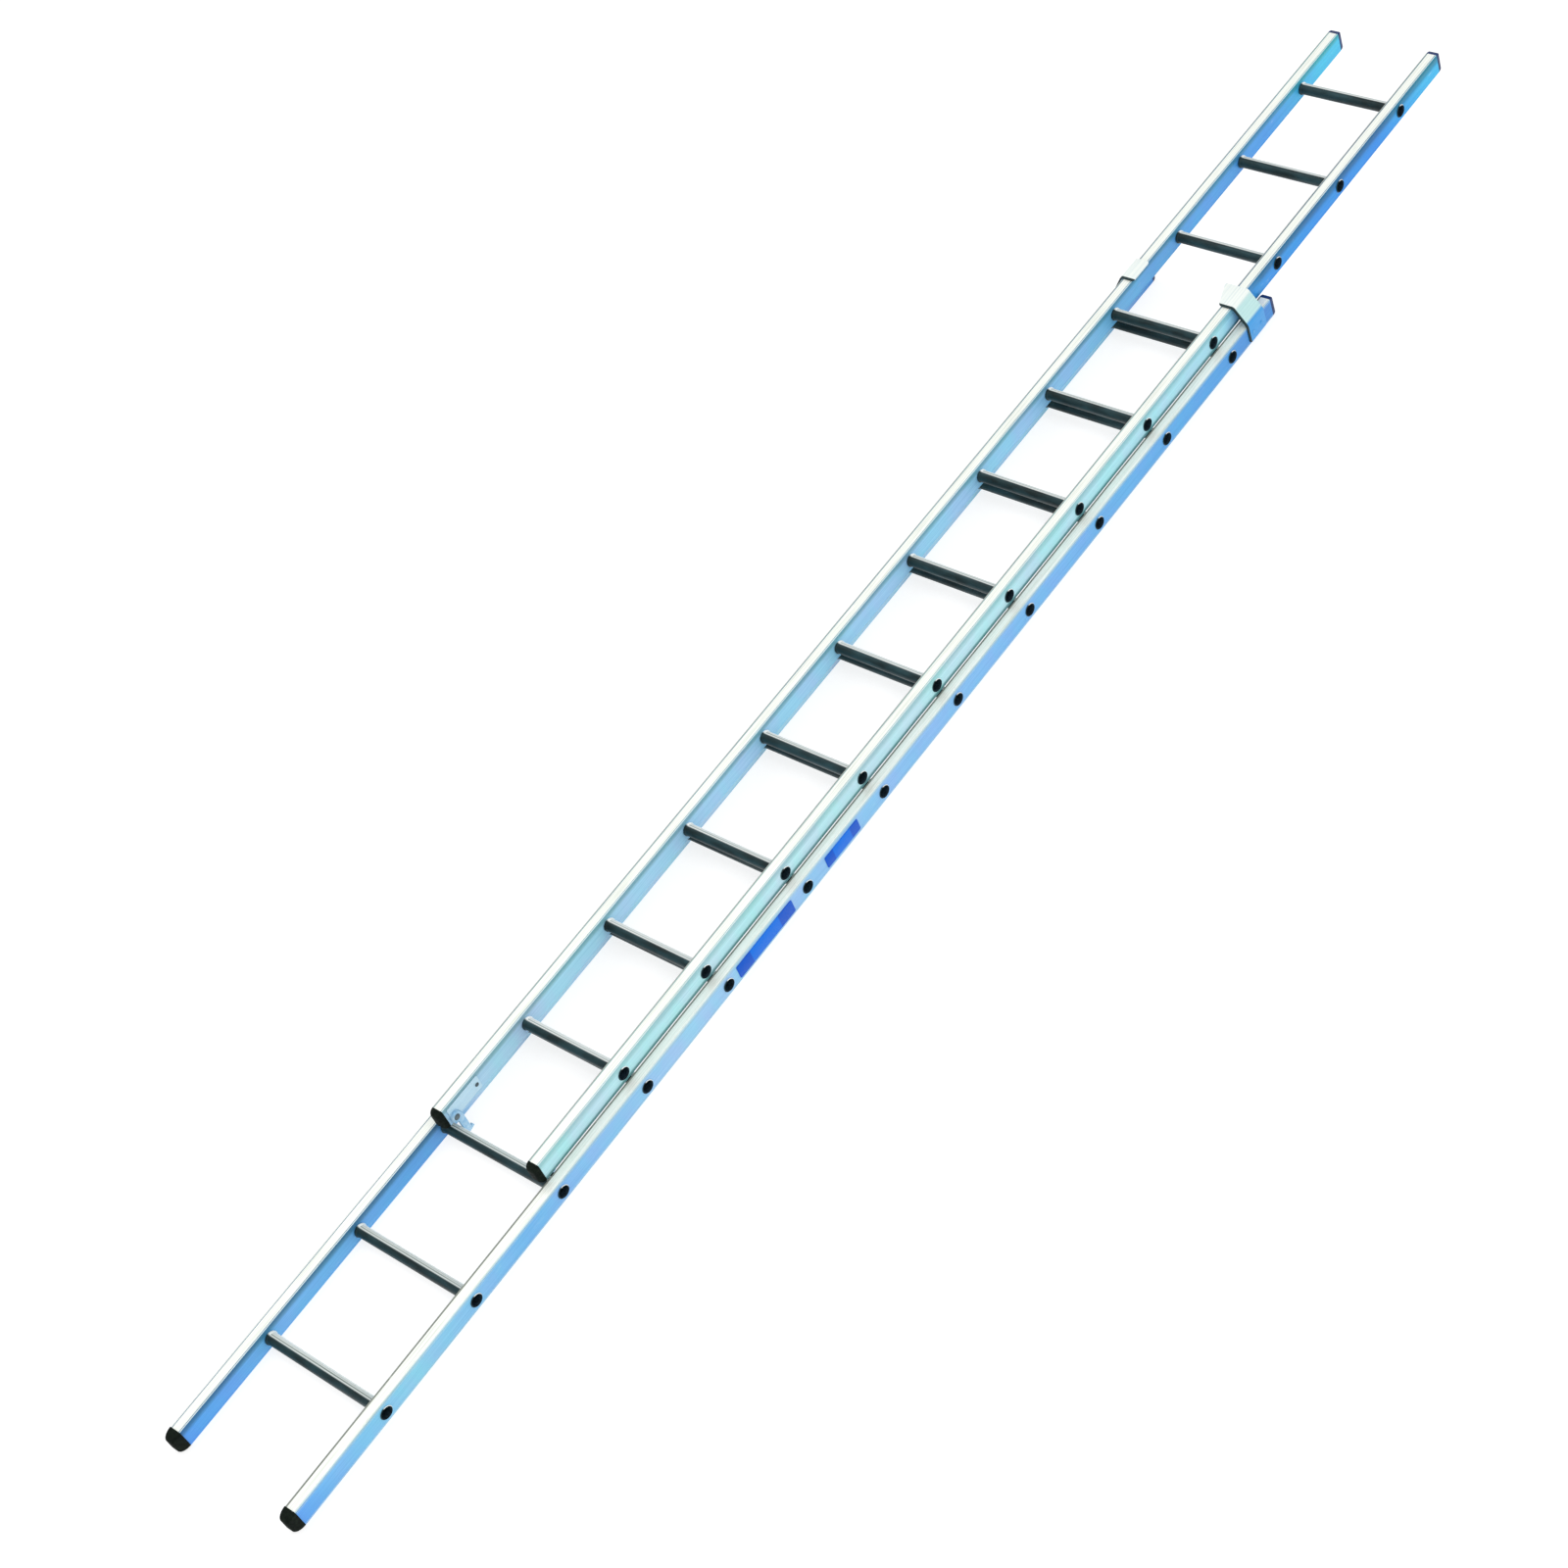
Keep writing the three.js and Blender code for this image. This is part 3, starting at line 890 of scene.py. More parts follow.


# ---- Stiles ------------------------------------------------------------------------------------------

# Painted blue reflection along each web, from its bottom end: paler where the web catches more of the pale
# surround, deeper where it is shaded.
INNER_BLUES: Stops = (
    (0.00, linear(90, 166, 246)), (0.09, linear(124, 192, 244)), (0.20, linear(100, 170, 234)),
    (0.23, linear(104, 172, 234)), (0.26, linear(196, 226, 246)), (0.67, linear(192, 224, 246)),
    (0.94, linear(170, 214, 242)), (1.00, linear(72, 142, 220)))
OUTER_BLUES: Stops = (
    (0.00, linear(100, 172, 248)), (0.03, linear(132, 194, 246)), (0.10, linear(158, 214, 240)),
    (0.20, linear(126, 188, 242)), (0.35, linear(174, 213, 245)), (0.67, linear(140, 195, 246)),
    (0.92, linear(92, 173, 236)), (1.00, linear(80, 147, 222)))
FLY_INNER_BLUES: Stops = (
    (0.00, linear(198, 230, 248)), (0.27, linear(184, 226, 255)), (0.60, linear(172, 222, 255)),
    (0.76, linear(106, 180, 236)), (0.90, linear(88, 168, 244)), (0.97, linear(84, 206, 246)))
FLY_OUTER_BLUES: Stops = (
    (0.00, linear(212, 247, 252)), (0.40, linear(216, 250, 255)), (0.72, linear(198, 241, 255)),
    (0.76, linear(54, 160, 238)), (0.92, linear(46, 152, 240)), (0.98, linear(66, 196, 248)))
# Painted shade lines across a web's depth, from its back flange: darker near the edges, where the flange and
# the gap to the other section shade the web.
DEEP_LINE: Stops = ((0.0, WHITE), (0.66, WHITE), (0.84, (0.42, 0.54, 0.50)), (1.0, (0.30, 0.40, 0.38)))
FRONT_LINE: Stops = ((0.0, WHITE), (0.70, WHITE), (0.86, (0.80, 0.78, 0.62)), (1.0, (0.72, 0.72, 0.56)))
SOFT_LINE: Stops = ((0.0, (0.92, 0.97, 0.98)), (0.12, WHITE), (0.72, WHITE), (0.88, (0.58, 0.66, 0.60)),
                    (1.0, (0.52, 0.60, 0.56)))
BACK_LINE: Stops = ((0.0, (0.22, 0.34, 0.32)), (0.13, (0.26, 0.40, 0.38)), (0.25, WHITE), (0.64, WHITE),
                    (0.84, (0.72, 0.78, 0.76)), (1.0, (0.62, 0.68, 0.66)))
DEEP_FRONT: Stops = ((0.0, (0.92, 0.98, 1.0)), (0.45, WHITE), (0.58, (0.78, 0.86, 0.84)),
                     (0.70, (0.44, 0.60, 0.58)), (0.84, (0.38, 0.50, 0.42)), (1.0, (0.38, 0.50, 0.42)))
LOOKS: dict[tuple[Section, Side], StileLook] = {
    (Section.BASE, Side.LEFT): StileLook(INNER_BLUES, DEEP_LINE, DEEP_LINE, line=0.12),
    (Section.BASE, Side.RIGHT): StileLook(OUTER_BLUES, line=0.85, pale_corner=True),
    (Section.FLY, Side.LEFT): StileLook(FLY_INNER_BLUES, SOFT_LINE, FRONT_LINE, line=0.6),
    (Section.FLY, Side.RIGHT): StileLook(FLY_OUTER_BLUES, BACK_LINE, DEEP_FRONT, line=0.7),
}


@dataclass
class Stiles:
    """The four box-section stiles, all cut from one extrusion."""

    corner_radius: float = 0.0024
    corner_steps: int = 4
    wall: float = 0.0018
    web_groove_in: float = 0.0042    # how far the grooves lie from the edges of a web
    flange_groove_in: float = 0.0046
    groove_half_width: float = 0.0008
    groove_depth: float = 0.0008
    hole_clearance: float = 0.00015
    hole_sides: int = 48
    facing: float = 0.9              # how squarely a face looks along an axis to count as facing it
    web_blue_edge: float = 0.35          # how far a corner face turns towards +X before it takes the web's painted blue
    flange_colour_edge: float = 0.9           # and how far where the corner keeps the flange's colour, or towards -X
    back_edge: float = 0.05          # and how far towards +X on the back of the stile
    rungs: int = 12

    def _profile(self, section: Section) -> Piece:
        """A section's right stile as a grooved skin, open at both ends.

        Args:
            section: The section.

        Returns:
            The skin.
        """
        low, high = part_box(section.stile(Side.RIGHT))
        skin = block("stile_master", low, high)
        with editing(skin):
            select_faces(lambda place, normal: abs(normal.y) > self.facing)
            bpy.ops.mesh.delete(type="ONLY_FACE")
            select_edges(lambda a, b: abs(a.y - b.y) > (high.y - low.y) / 2)
            bpy.ops.mesh.bevel(offset=self.corner_radius, segments=self.corner_steps, affect="EDGES")
            for wall, inwards in ((low.z, 1), (high.z, -1)):
                self._groove(0, (low.x, high.x), wall, inwards)
            for wall, inwards in ((low.x, 1), (high.x, -1)):
                self._groove(2, (low.z, high.z), wall, inwards)
            face_outwards()
        return skin

    def _groove(self, across: int, span: tuple[float, float], wall: float, inwards: int) -> None:
        """Press two V grooves into one wall of the skin, near its two edges.

        Args:
            across: The axis that runs across the wall.
            span: The wall's two edges along that axis.
            wall: Where the wall is along the other axis.
            inwards: Which way the inside lies along the other axis.
        """
        other = 2 - across
        inset = self.flange_groove_in if across == 0 else self.web_groove_in
        for edge, sign in ((span[0], 1), (span[1], -1)):
            line = edge + sign * inset
            slice_at(across, line - self.groove_half_width, line, line + self.groove_half_width)
            select_vertices(lambda place: abs(place[across] - line) < NEAR
                            and abs(place[other] - wall) < SURFACE)
            push = [0.0, 0.0, 0.0]
            push[other] = inwards * self.groove_depth
            shift(*push)

    def _cut_rung_holes(self, stile: Piece, section: Section) -> None:
        """Bore the holes for the rungs through both webs.

        Args:
            stile: The walled stile.
            section: The section that it belongs to.
        """
        low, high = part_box(section.stile(Side.RIGHT))
        cutters = []
        for number in range(1, self.rungs + 1):
            rung_low, rung_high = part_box(section.rung(number))
            radius = (rung_high.y - rung_low.y) / 2 + self.hole_clearance
            cutters.append(round_bar("cutter", radius, low.x - self.wall, high.x + self.wall,
                                     (rung_low + rung_high) / 2, self.hole_sides))
        combine(stile, merge(cutters), "DIFFERENCE")

    def build(self, bore: Material) -> None:
        """Build all four stiles and hand them over.

        Args:
            bore: The finish inside the tubes, painted dark as shade.
        """
        bracket_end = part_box("guide_bracket_right")[1].y
        for section in Section:
            master = self._profile(section)
            thicken(master, self.wall)
            self._cut_rung_holes(master, section)
            for side in Side:
                node = section.stile(side)
                stile = copy_of(master, f"extruded_{node}", middle(node) - middle(section.stile(Side.RIGHT)))
                low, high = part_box(node)
                web = WebFinish(f"web_{stile.name}", low, high, LOOKS[section, side], bracket_end)
                self._dress(stile, web, bore)
                hand_over(stile, node, section.value)
            bpy.data.objects.remove(master)

    def _dress(self, stile: Piece, web: WebFinish, bore: Material) -> None:
        """Paint the webs, the flanges and the inside of one stile, with their painted reflection and shade.

        Args:
            stile: The stile.
            web: The finish of its webs, which knows its corners and its look.
            bore: The finish inside the tube, painted dark as shade.
        """
        flange = FlangeFinish(f"flange_{stile.name}", web.low, web.high, web.look.line)
        for finish in (flange.build(), web.build(), bore):
            stile.data.materials.append(finish)
        centre = (web.low + web.high) / 2
        inner = (web.high - web.low) / 2 - Vector((1.0, 1.0, 1.0)) * (self.wall - SURFACE)
        # Corner faces that take the web finish carry its painted blue and its painted shade lines along the
        # edges.
        front_edge = self.flange_colour_edge if web.look.pale_corner else self.web_blue_edge
        for face in stile.data.polygons:
            place = face.center - centre
            web_blue_from = front_edge if face.normal.z > 0 else self.back_edge
            outwards = face.normal.x * place.x + face.normal.z * place.z
            if abs(place.x) < inner.x and abs(place.z) < inner.z and outwards <= 0:
                face.material_index = 2
            elif face.normal.x > web_blue_from or face.normal.x < -self.flange_colour_edge:
                face.material_index = 1
        smooth(stile, degrees=24.0)


# ---- Rungs -------------------------------------------------------------------------------------------


@dataclass
class Rungs:
    """The round rungs of one section, ribbed on the tread side and swaged at both ends."""

    section: Section
    sides: int = 72
    wall: float = 0.0018
    rib_every: int = 3
    rib_depth: float = 0.0007
    tread_from: float = 12.0         # degrees from straight out of the climbing face, towards the top
    tread_to: float = 120.0
    shade_bands: tuple[Triple, ...] = ((9.0, 21.0, 1.0), (34.0, 41.0, 0.45))  # painted shade bands on the tread, standing in for rib shade: from, to and how dark
    collar_half_width: float = 0.0030
    collar_rings: tuple[float, ...] = (-1.0, -0.6, 0.0, 0.6, 1.0)
    collar_swell: float = 0.94       # how much of its height a collar loses at its two ends
    collar_height: float = 0.0022
    collar_gap: float = 0.0004
    flare_height: float = 0.0020
    flare_width: float = 0.0012
    count: int = 12

    def _angle(self, place: Vector, centre: Vector) -> float:
        """Degrees of a place round the rung, 0 out of the climbing face and positive towards the top."""
        return math.degrees(math.atan2(place.y - centre.y, place.z - centre.z))

    def _rings(self, half_length: float) -> list[tuple[float, float]]:
        """Where the skin is cut into rings beyond the middle, and how much each ring stands out.

        Args:
            half_length: Half of the rung's length.

        Returns:
            The distance from the middle and the extra radius of each ring.
        """
        low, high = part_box(self.section.stile(Side.RIGHT))
        collar = low.x - self.collar_gap - self.collar_half_width
        rings = [(collar - self.collar_half_width * 1.5, 0.0)]
        for step in self.collar_rings:
            rings.append((collar + step * self.collar_half_width,
                          self.collar_height * math.sqrt(1.0 - step * step * self.collar_swell)))
        rings.append((low.x, 0.0))
        rings.append((high.x - self.wall, 0.0))
        rings.append((half_length - self.flare_width, self.flare_height * 0.35))
        return rings

    def _master(self) -> Piece:
        """The section's first rung.

        Returns:
            The finished shape.
        """
        low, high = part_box(self.section.rung(1))
        centre = (low + high) / 2
        radius = (high.y - low.y) / 2
        rung = round_bar(f"{self.section.value}_rung_master", radius, low.x, high.x, centre, self.sides,
                         capped=False)
        rings = self._rings(high.x)
        with editing(rung):
            for distance, _ in rings:
                slice_at(0, -distance, distance)
            self._press_grooves(centre, rings[0][0])
            for distance, extra in [*rings, (high.x, self.flare_height)]:
                if extra:
                    scale = 1.0 + extra / radius
                    for x in (-distance, distance):
                        select_vertices(lambda place: abs(place.x - x) < NEAR)
                        stretch((1.0, scale, scale), (x, centre.y, centre.z))
            face_outwards()
        face = rung.data.polygons[0]
        if (face.center - centre).yz.dot(face.normal.yz) < 0:    # an open skin can end up inside out
            rung.data.flip_normals()
        thicken(rung, self.wall)
        self._mark(rung, centre, radius, rings[0][0])
        smooth(rung, degrees=40.0)
        return rung

    def _press_grooves(self, centre: Vector, reach: float) -> None:
        """Press the grooves between the ribs into the tread side, as far as the collars.

        Args:
            centre: The middle of the rung.
            reach: How far along X the ribs run from the middle.
        """
        step = 360.0 / self.sides
        first = math.ceil(self.tread_from / step)
        last = math.floor(self.tread_to / step)
        grooves = [turn * step for turn in range(first, last + 1, self.rib_every)]

        def in_groove(place: Vector) -> bool:
            """Whether a place lies at the bottom of a groove."""
            angle = self._angle(place, centre)
            nearest = min(abs(angle - groove) for groove in grooves)
            return abs(place.x) < reach + SURFACE and nearest < step / 4

        select_vertices(in_groove)
        radius = max((vertex.co - centre).yz.length for vertex in _edited().verts)
        scale = 1.0 - self.rib_depth / radius
        stretch((1.0, scale, scale), centre)

    def _mark(self, rung: Piece, centre: Vector, radius: float, reach: float) -> None:
        """Write how far each vertex faces down and how much painted groove shade it gets, both for the
        finish's painted shade.

        Args:
            rung: The finished shape.
            centre: Its middle.
            radius: Its radius.
            reach: How far along X the ribs run.
        """
        underside = rung.data.attributes.new("underside", "FLOAT", "POINT")
        groove = rung.data.attributes.new("groove", "FLOAT", "POINT")
        for index, vertex in enumerate(rung.data.vertices):
            angle = self._angle(vertex.co, centre)
            # facing the feet gives the painted underside shade
            underside.data[index].value = 0.5 - 0.5 * math.sin(math.radians(angle))
            if abs(vertex.co.x) > reach + SURFACE:
                continue
            depth = radius - (vertex.co - centre).yz.length
            in_groove = self.rib_depth * 0.5 < depth < self.wall * 0.7
            shadow = 0.8 - angle / self.tread_to if in_groove else 0.0
            # painted shade bands on the tread, as dark as the rib shadow at full strength
            band_shade = [strength for low, high, strength in self.shade_bands if low <= angle <= high]
            groove.data[index].value = max([shadow, 0.0, *band_shade])

    def build(self, skin: Material, bore: Material) -> None:
        """Build the section's rungs and hand them over.

        Args:
            skin: The finish outside.
            bore: The finish inside, painted dark as shade.
        """
        master = self._master()
        for finish in (skin, bore):
            master.data.materials.append(finish)
        low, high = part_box(self.section.rung(1))
        home = (low + high) / 2
        inside = (high.y - low.y) / 2 - self.wall / 2 + self.collar_height
        for face in master.data.polygons:
            arm = (face.center - home).yz
            if arm.dot(face.normal.yz) < 0 and arm.length < inside:
                face.material_index = 1
        for number in range(1, self.count + 1):
            node = self.section.rung(number)
            rung = copy_of(master, f"ribbed_{node}", middle(node) - home)
            hand_over(rung, node, self.section.value)
        bpy.data.objects.remove(master)


# ---- Feet, caps and plugs ----------------------------------------------------------------------------


@dataclass
class EndPieces:
    """Moulded pieces that close the ends of two stiles: a crowned slab outside and a spigot inside."""

    section: Section
    end: End
    stem: str                        # the start of the node's name
    proud: float = 0.0               # how far the slab stands out of the stile's sides
    flush_back: bool = False
    shrink_x: float = 0.5            # the share of its width that the slab loses on the way to its tip
    shrink_z: float = 0.45
    rings: int = 10
    corner_radius: float = 0.006
    treads: int = 0
    tread_depth: float = 0.0014
    tread_pitch: float = 0.0052
    spigot_length: float = 0.028
    spigot_clearance: float = 0.0003
    lead_in: float = 0.0016
    edge_round: float = 0.0006
    wall: float = 0.0018
    seat_gap: float = 0.0002

    def _slab(self, low: Vector, high: Vector, thickness: float) -> Piece:
        """The part outside the stile, square at the stile and crowned away from it.

        Args:
            low: The stile's lowest corner.
            high: The stile's highest corner.
            thickness: How far it reaches past the stile's end.

        Returns:
            The slab.
        """
        away = self.end.value
        face = high.y if away > 0 else low.y
        seat = face + away * self.seat_gap
        tip = face + away * thickness
        back, front = low.z - (0.0 if self.flush_back else self.proud), high.z + self.proud
        bottom, top = sorted((seat, tip))
        slab = block("slab", (low.x - self.proud, bottom, back), (high.x + self.proud, top, front))
        centre = Vector(((low.x + high.x) / 2, tip, (back + front) / 2))
        turns = [math.pi / 2 * ring / self.rings for ring in range(self.rings + 1)]
        levels = [seat + (tip - seat) * math.sin(turn) for turn in turns]
        with editing(slab):
            select_edges(lambda a, b: abs(a.y - b.y) > thickness / 2)
            bpy.ops.mesh.bevel(offset=self.corner_radius, segments=6, affect="EDGES")
            slice_at(1, *levels[1:-1])
            for turn, level in zip(turns, levels):
                drop = 1.0 - math.cos(turn)
                select_vertices(lambda place: abs(place.y - level) < NEAR)
                stretch((1.0 - self.shrink_x * drop, 1.0, 1.0 - self.shrink_z * drop), centre)
            if self.treads:
                self._tread(centre, tip, away)
        soften(slab, self.edge_round, degrees=50.0)
        return slab

    def _tread(self, centre: Vector, tip: float, away: int) -> None:
        """Press V grooves across the sole.

        Args:
            centre: The middle of the sole.
            tip: Where the sole is along Y.
            away: Which way the sole faces along Y.
        """
        for number in range(self.treads):
            line = centre.z + (number - (self.treads - 1) / 2) * self.tread_pitch
            slice_at(2, line - self.tread_pitch / 4, line, line + self.tread_pitch / 4)
            select_vertices(lambda place: abs(place.z - line) < NEAR and abs(place.y - tip) < SURFACE)
            shift(y=-away * self.tread_depth)

    def _spigot(self, low: Vector, high: Vector, thickness: float) -> Piece:
        """The part inside the stile, with a bevelled lead-in.

        Args:
            low: The stile's lowest corner.
            high: The stile's highest corner.
            thickness: How far the slab reaches past the stile's end.

        Returns:
            The spigot.
        """
        away = self.end.value
        face = high.y if away > 0 else low.y
        inset = self.wall + self.spigot_clearance
        near, far = sorted((face + away * thickness / 3, face - away * self.spigot_length))
        spigot = block("spigot", (low.x + inset, near, low.z + inset), (high.x - inset, far, high.z - inset))
        soften(spigot, self.lead_in, segments=3)
        return spigot

    def build(self, finish: Material, slot: str) -> None:
        """Build both pieces and hand them over.

        Args:
            finish: Their material.
            slot: The record's slot that it stands for; not used.
        """
        home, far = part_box(self.section.stile(Side.RIGHT))
        node_low, node_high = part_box(f"{self.stem}_right")
        thickness = node_high.y - far.y if self.end is End.TOP else home.y - node_low.y
        master = self._slab(home, far, thickness)
        combine(master, self._spigot(home, far, thickness))
        master.data.materials.append(finish)
        smooth(master, degrees=38.0)
        for side in Side:
            low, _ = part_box(self.section.stile(side))
            node = f"{self.stem}_{side.label}"
            hand_over(copy_of(master, f"moulded_{node}", low - home), node, self.section.value)
        bpy.data.objects.remove(master)


# ---- Fasteners ---------------------------------------------------------------------------------------


@dataclass
class Rivet:
    """A closed rivet along X with a domed head and a rolled tail."""

    node: str
    body: str
    head_radius: float
    head_height: float
    shank_radius: float
    sides: int = 32
    rings: int = 5
    crown: float = 0.82              # how much of the head's width its dome takes up
    tail_height: float = 0.0018
    tail_round: float = 0.0005

    def build(self, finish: Material) -> None:
        """Build the rivet where its node is and hand it over.

        Args:
            finish: Its material.
        """
        low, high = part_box(self.node)
        centre = (low + high) / 2
        outer_is_high = (abs(high.x) > abs(low.x)) == (self.body == "base")
        head_tip, tail_tip = (high.x, low.x) if outer_is_high else (low.x, high.x)
        outwards = 1.0 if head_tip > tail_tip else -1.0
        seat = head_tip - outwards * self.head_height
        levels = [seat + outwards * self.head_height * step / self.rings for step in range(1, self.rings + 1)]
        head = round_bar(f"domed_{self.node}", self.head_radius, seat, head_tip, centre, self.sides)
        with editing(head):
            slice_at(0, *levels[:-1])
            for step, level in enumerate(levels, start=1):
                scale = math.sqrt(1.0 - (step / self.rings) ** 2 * self.crown)
                select_vertices(lambda place: abs(place.x - level) < NEAR)
                stretch((1.0, scale, scale), (level, centre.y, centre.z))
        neck = seat + outwards * self.head_height / 2
        combine(head, round_bar("shank", self.shank_radius, neck, tail_tip, centre, self.sides))
        tail = round_bar("tail", (self.shank_radius + self.head_radius) / 2, tail_tip,
                         tail_tip + outwards * self.tail_height, centre, self.sides)
        soften(tail, self.tail_round)
        combine(head, tail)
        paint_and_hand_over(head, finish, self.node, self.body)


# ---- Guide brackets ----------------------------------------------------------------------------------


@dataclass
class GuideBracket:
    """A bent sheet bracket that keeps the fly stile against the base stile."""

    side: Side
    thickness: float = 0.003
    bend_radius: float = 0.0045
    lip_corner: float = 0.007
    edge_round: float = 0.0006
    flare: float = 0.0               # how far one corner of the lip reaches further inwards

    def build(self) -> None:
        """Build the bracket and hand it over."""
        node = f"guide_bracket_{self.side.label}"
        low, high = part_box(node)
        sign = self.side.value
        half = self.thickness / 2
        outer, inner = (high.x, low.x) if sign > 0 else (low.x, high.x)
        side_x = outer - sign * half
        lip_x = inner + sign * self.flare
        fly_low, fly_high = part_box(Section.FLY.stile(self.side))
        corner_x = (fly_high.x if sign > 0 else fly_low.x) + sign * self.thickness
        bend_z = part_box(Section.BASE.stile(self.side))[1].z + self.thickness
        front_z = high.z - half
        sheet = block(f"bent_{node}", (side_x - TINY * 5, low.y, low.z), (side_x + TINY * 5, high.y, bend_z))
        with editing(sheet):
            select_faces(lambda place, normal: normal.x * sign < 0.9)
            bpy.ops.mesh.delete(type="FACE")
            bpy.ops.mesh.select_mode(type="EDGE")
            for x, z in ((corner_x, front_z), (lip_x, front_z)):
                self._pull_edge(x, z)
            if self.flare:
                halfway = (low.y + high.y) / 2
                select_vertices(lambda place: abs(place.x - lip_x) < SURFACE and place.y > halfway)
                shift(x=-sign * self.flare)
            self._round_corners(sign, corner_x, low, high)
            select_edges(lambda a, b: abs(a.y - b.y) > (high.y - low.y) * 0.9
                         and min(abs(a.x - lip_x), abs(b.x - lip_x)) > self.flare + SURFACE
                         and a.z > low.z + SURFACE)
            bpy.ops.mesh.bevel(offset=self.bend_radius, segments=5, affect="EDGES")
            bpy.ops.mesh.select_all(action="SELECT")
            bpy.ops.mesh.remove_doubles(threshold=TINY)
        thicken(sheet, self.thickness, offset=0.0)
        soften(sheet, self.edge_round, degrees=50.0)
        with editing(sheet):
            face_outwards()
        finish = BracketFinish(abs(corner_x), abs(side_x), low.y).build()
        paint_and_hand_over(sheet, finish, node, "base")

    def _pull_edge(self, x: float, z: float) -> None:
        """Extrude the sheet's free edge to a new line.

        Args:
            x: Where the new edge is along X.
            z: Where the new edge is along Z.
        """
        shape = _edited()
        shape.verts.ensure_lookup_table()
        newest = max(vertex.co.z for vertex in shape.verts)
        free = [vertex.co.copy() for vertex in shape.verts if vertex.co.z > newest - SURFACE]
        edge_x = min((place.x for place in free), key=abs)
        select_edges(lambda a, b: all(abs(end.x - edge_x) < SURFACE and abs(end.z - newest) < SURFACE
                                      for end in (a, b)))
        bpy.ops.mesh.extrude_region_move(TRANSFORM_OT_translate={"value": (x - edge_x, 0.0, z - newest)})

    def _round_corners(self, sign: int, corner_x: float, low: Vector, high: Vector) -> None:
        """Round the free corners of the lip and of the side plate.

        Args:
            sign: 1 on the right and -1 on the left.
            corner_x: Where the lip bends.
            low: The bracket's lowest corner.
            high: The bracket's highest corner; not used.
        """
        inside = min(abs(vertex.co.x) for vertex in _edited().verts)

        def free_corner(place: Vector) -> bool:
            """Whether a place is on the lip's or the side plate's free edge."""
            on_lip = abs(place.x) < inside + self.flare + SURFACE and place.x * sign < corner_x * sign
            return on_lip or place.z < low.z + SURFACE

        select_vertices(free_corner)
        bpy.ops.mesh.bevel(offset=self.lip_corner, segments=5, affect="VERTICES")


# ---- Latch hooks ------------------------------------------------------------------------------------


@dataclass
class LatchHook:
    """A hook on a pivot pin of the fly section, which drops over a rung of the base section."""

    side: Side
    edge_round: float = 0.0006
    head_radius: float = 0.013
    seat_drop: float = 0.0014        # the arm's lower edge, below the pivot
    arm_top: float = 0.015
    nose_inner: float = 0.0578
    nose_outer: float = 0.0645
    nose_tip: float = -21.0          # degrees from straight back, towards the feet
    nose_start: float = 0.0005       # half the width of the block that the nose is spun from
    nose_steps: int = 8
    bore_radius: float = 0.0043
    round_sides: int = 48

    def build(self, finish: Material) -> None:
        """Build the hook and hand it over.

        Args:
            finish: Its material.
        """
        node = f"latch_hook_{self.side.label}"
        low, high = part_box(node)
        pin = middle(f"latch_pivot_{self.side.label}")
        hook = round_bar(f"cast_{node}", self.head_radius, low.x, high.x, pin, self.round_sides)
        reach = math.sqrt(self.nose_outer ** 2 - self.arm_top ** 2)
        combine(hook, block("arm", (low.x, pin.y - self.seat_drop, pin.z - reach),
                            (high.x, pin.y + self.arm_top, pin.z)))
        combine(hook, self._nose(low.x, high.x, pin))
        past = self.edge_round * 2
        bore = round_bar("bore", self.bore_radius, low.x - past, high.x + past, pin, self.round_sides)
        combine(hook, bore, "DIFFERENCE")
        soften(hook, self.edge_round, degrees=40.0)
        paint_and_hand_over(hook, finish, node, f"latch_{self.side.label}")

    def _nose(self, x_from: float, x_to: float, pin: Vector) -> Piece:
        """The curved nose behind the rung, spun about the pivot.

        Args:
            x_from: One face of the hook.
            x_to: Its other face.
            pin: The pivot's middle.

        Returns:
            The nose.
        """
        nose = block("nose", (x_from, pin.y - self.nose_start, pin.z - self.nose_outer),
                     (x_to, pin.y + self.nose_start, pin.z - self.nose_inner))
        with editing(nose):
            select_faces(lambda place, normal: normal.y < -0.9)
            bpy.ops.mesh.spin(steps=self.nose_steps, angle=math.radians(self.nose_tip), center=tuple(pin),
                              axis=(1.0, 0.0, 0.0))
            bpy.ops.mesh.select_all(action="SELECT")
            bpy.ops.mesh.remove_doubles(threshold=TINY)
            face_outwards()
        return nose


# ---- The room ----------------------------------------------------------------------------------------


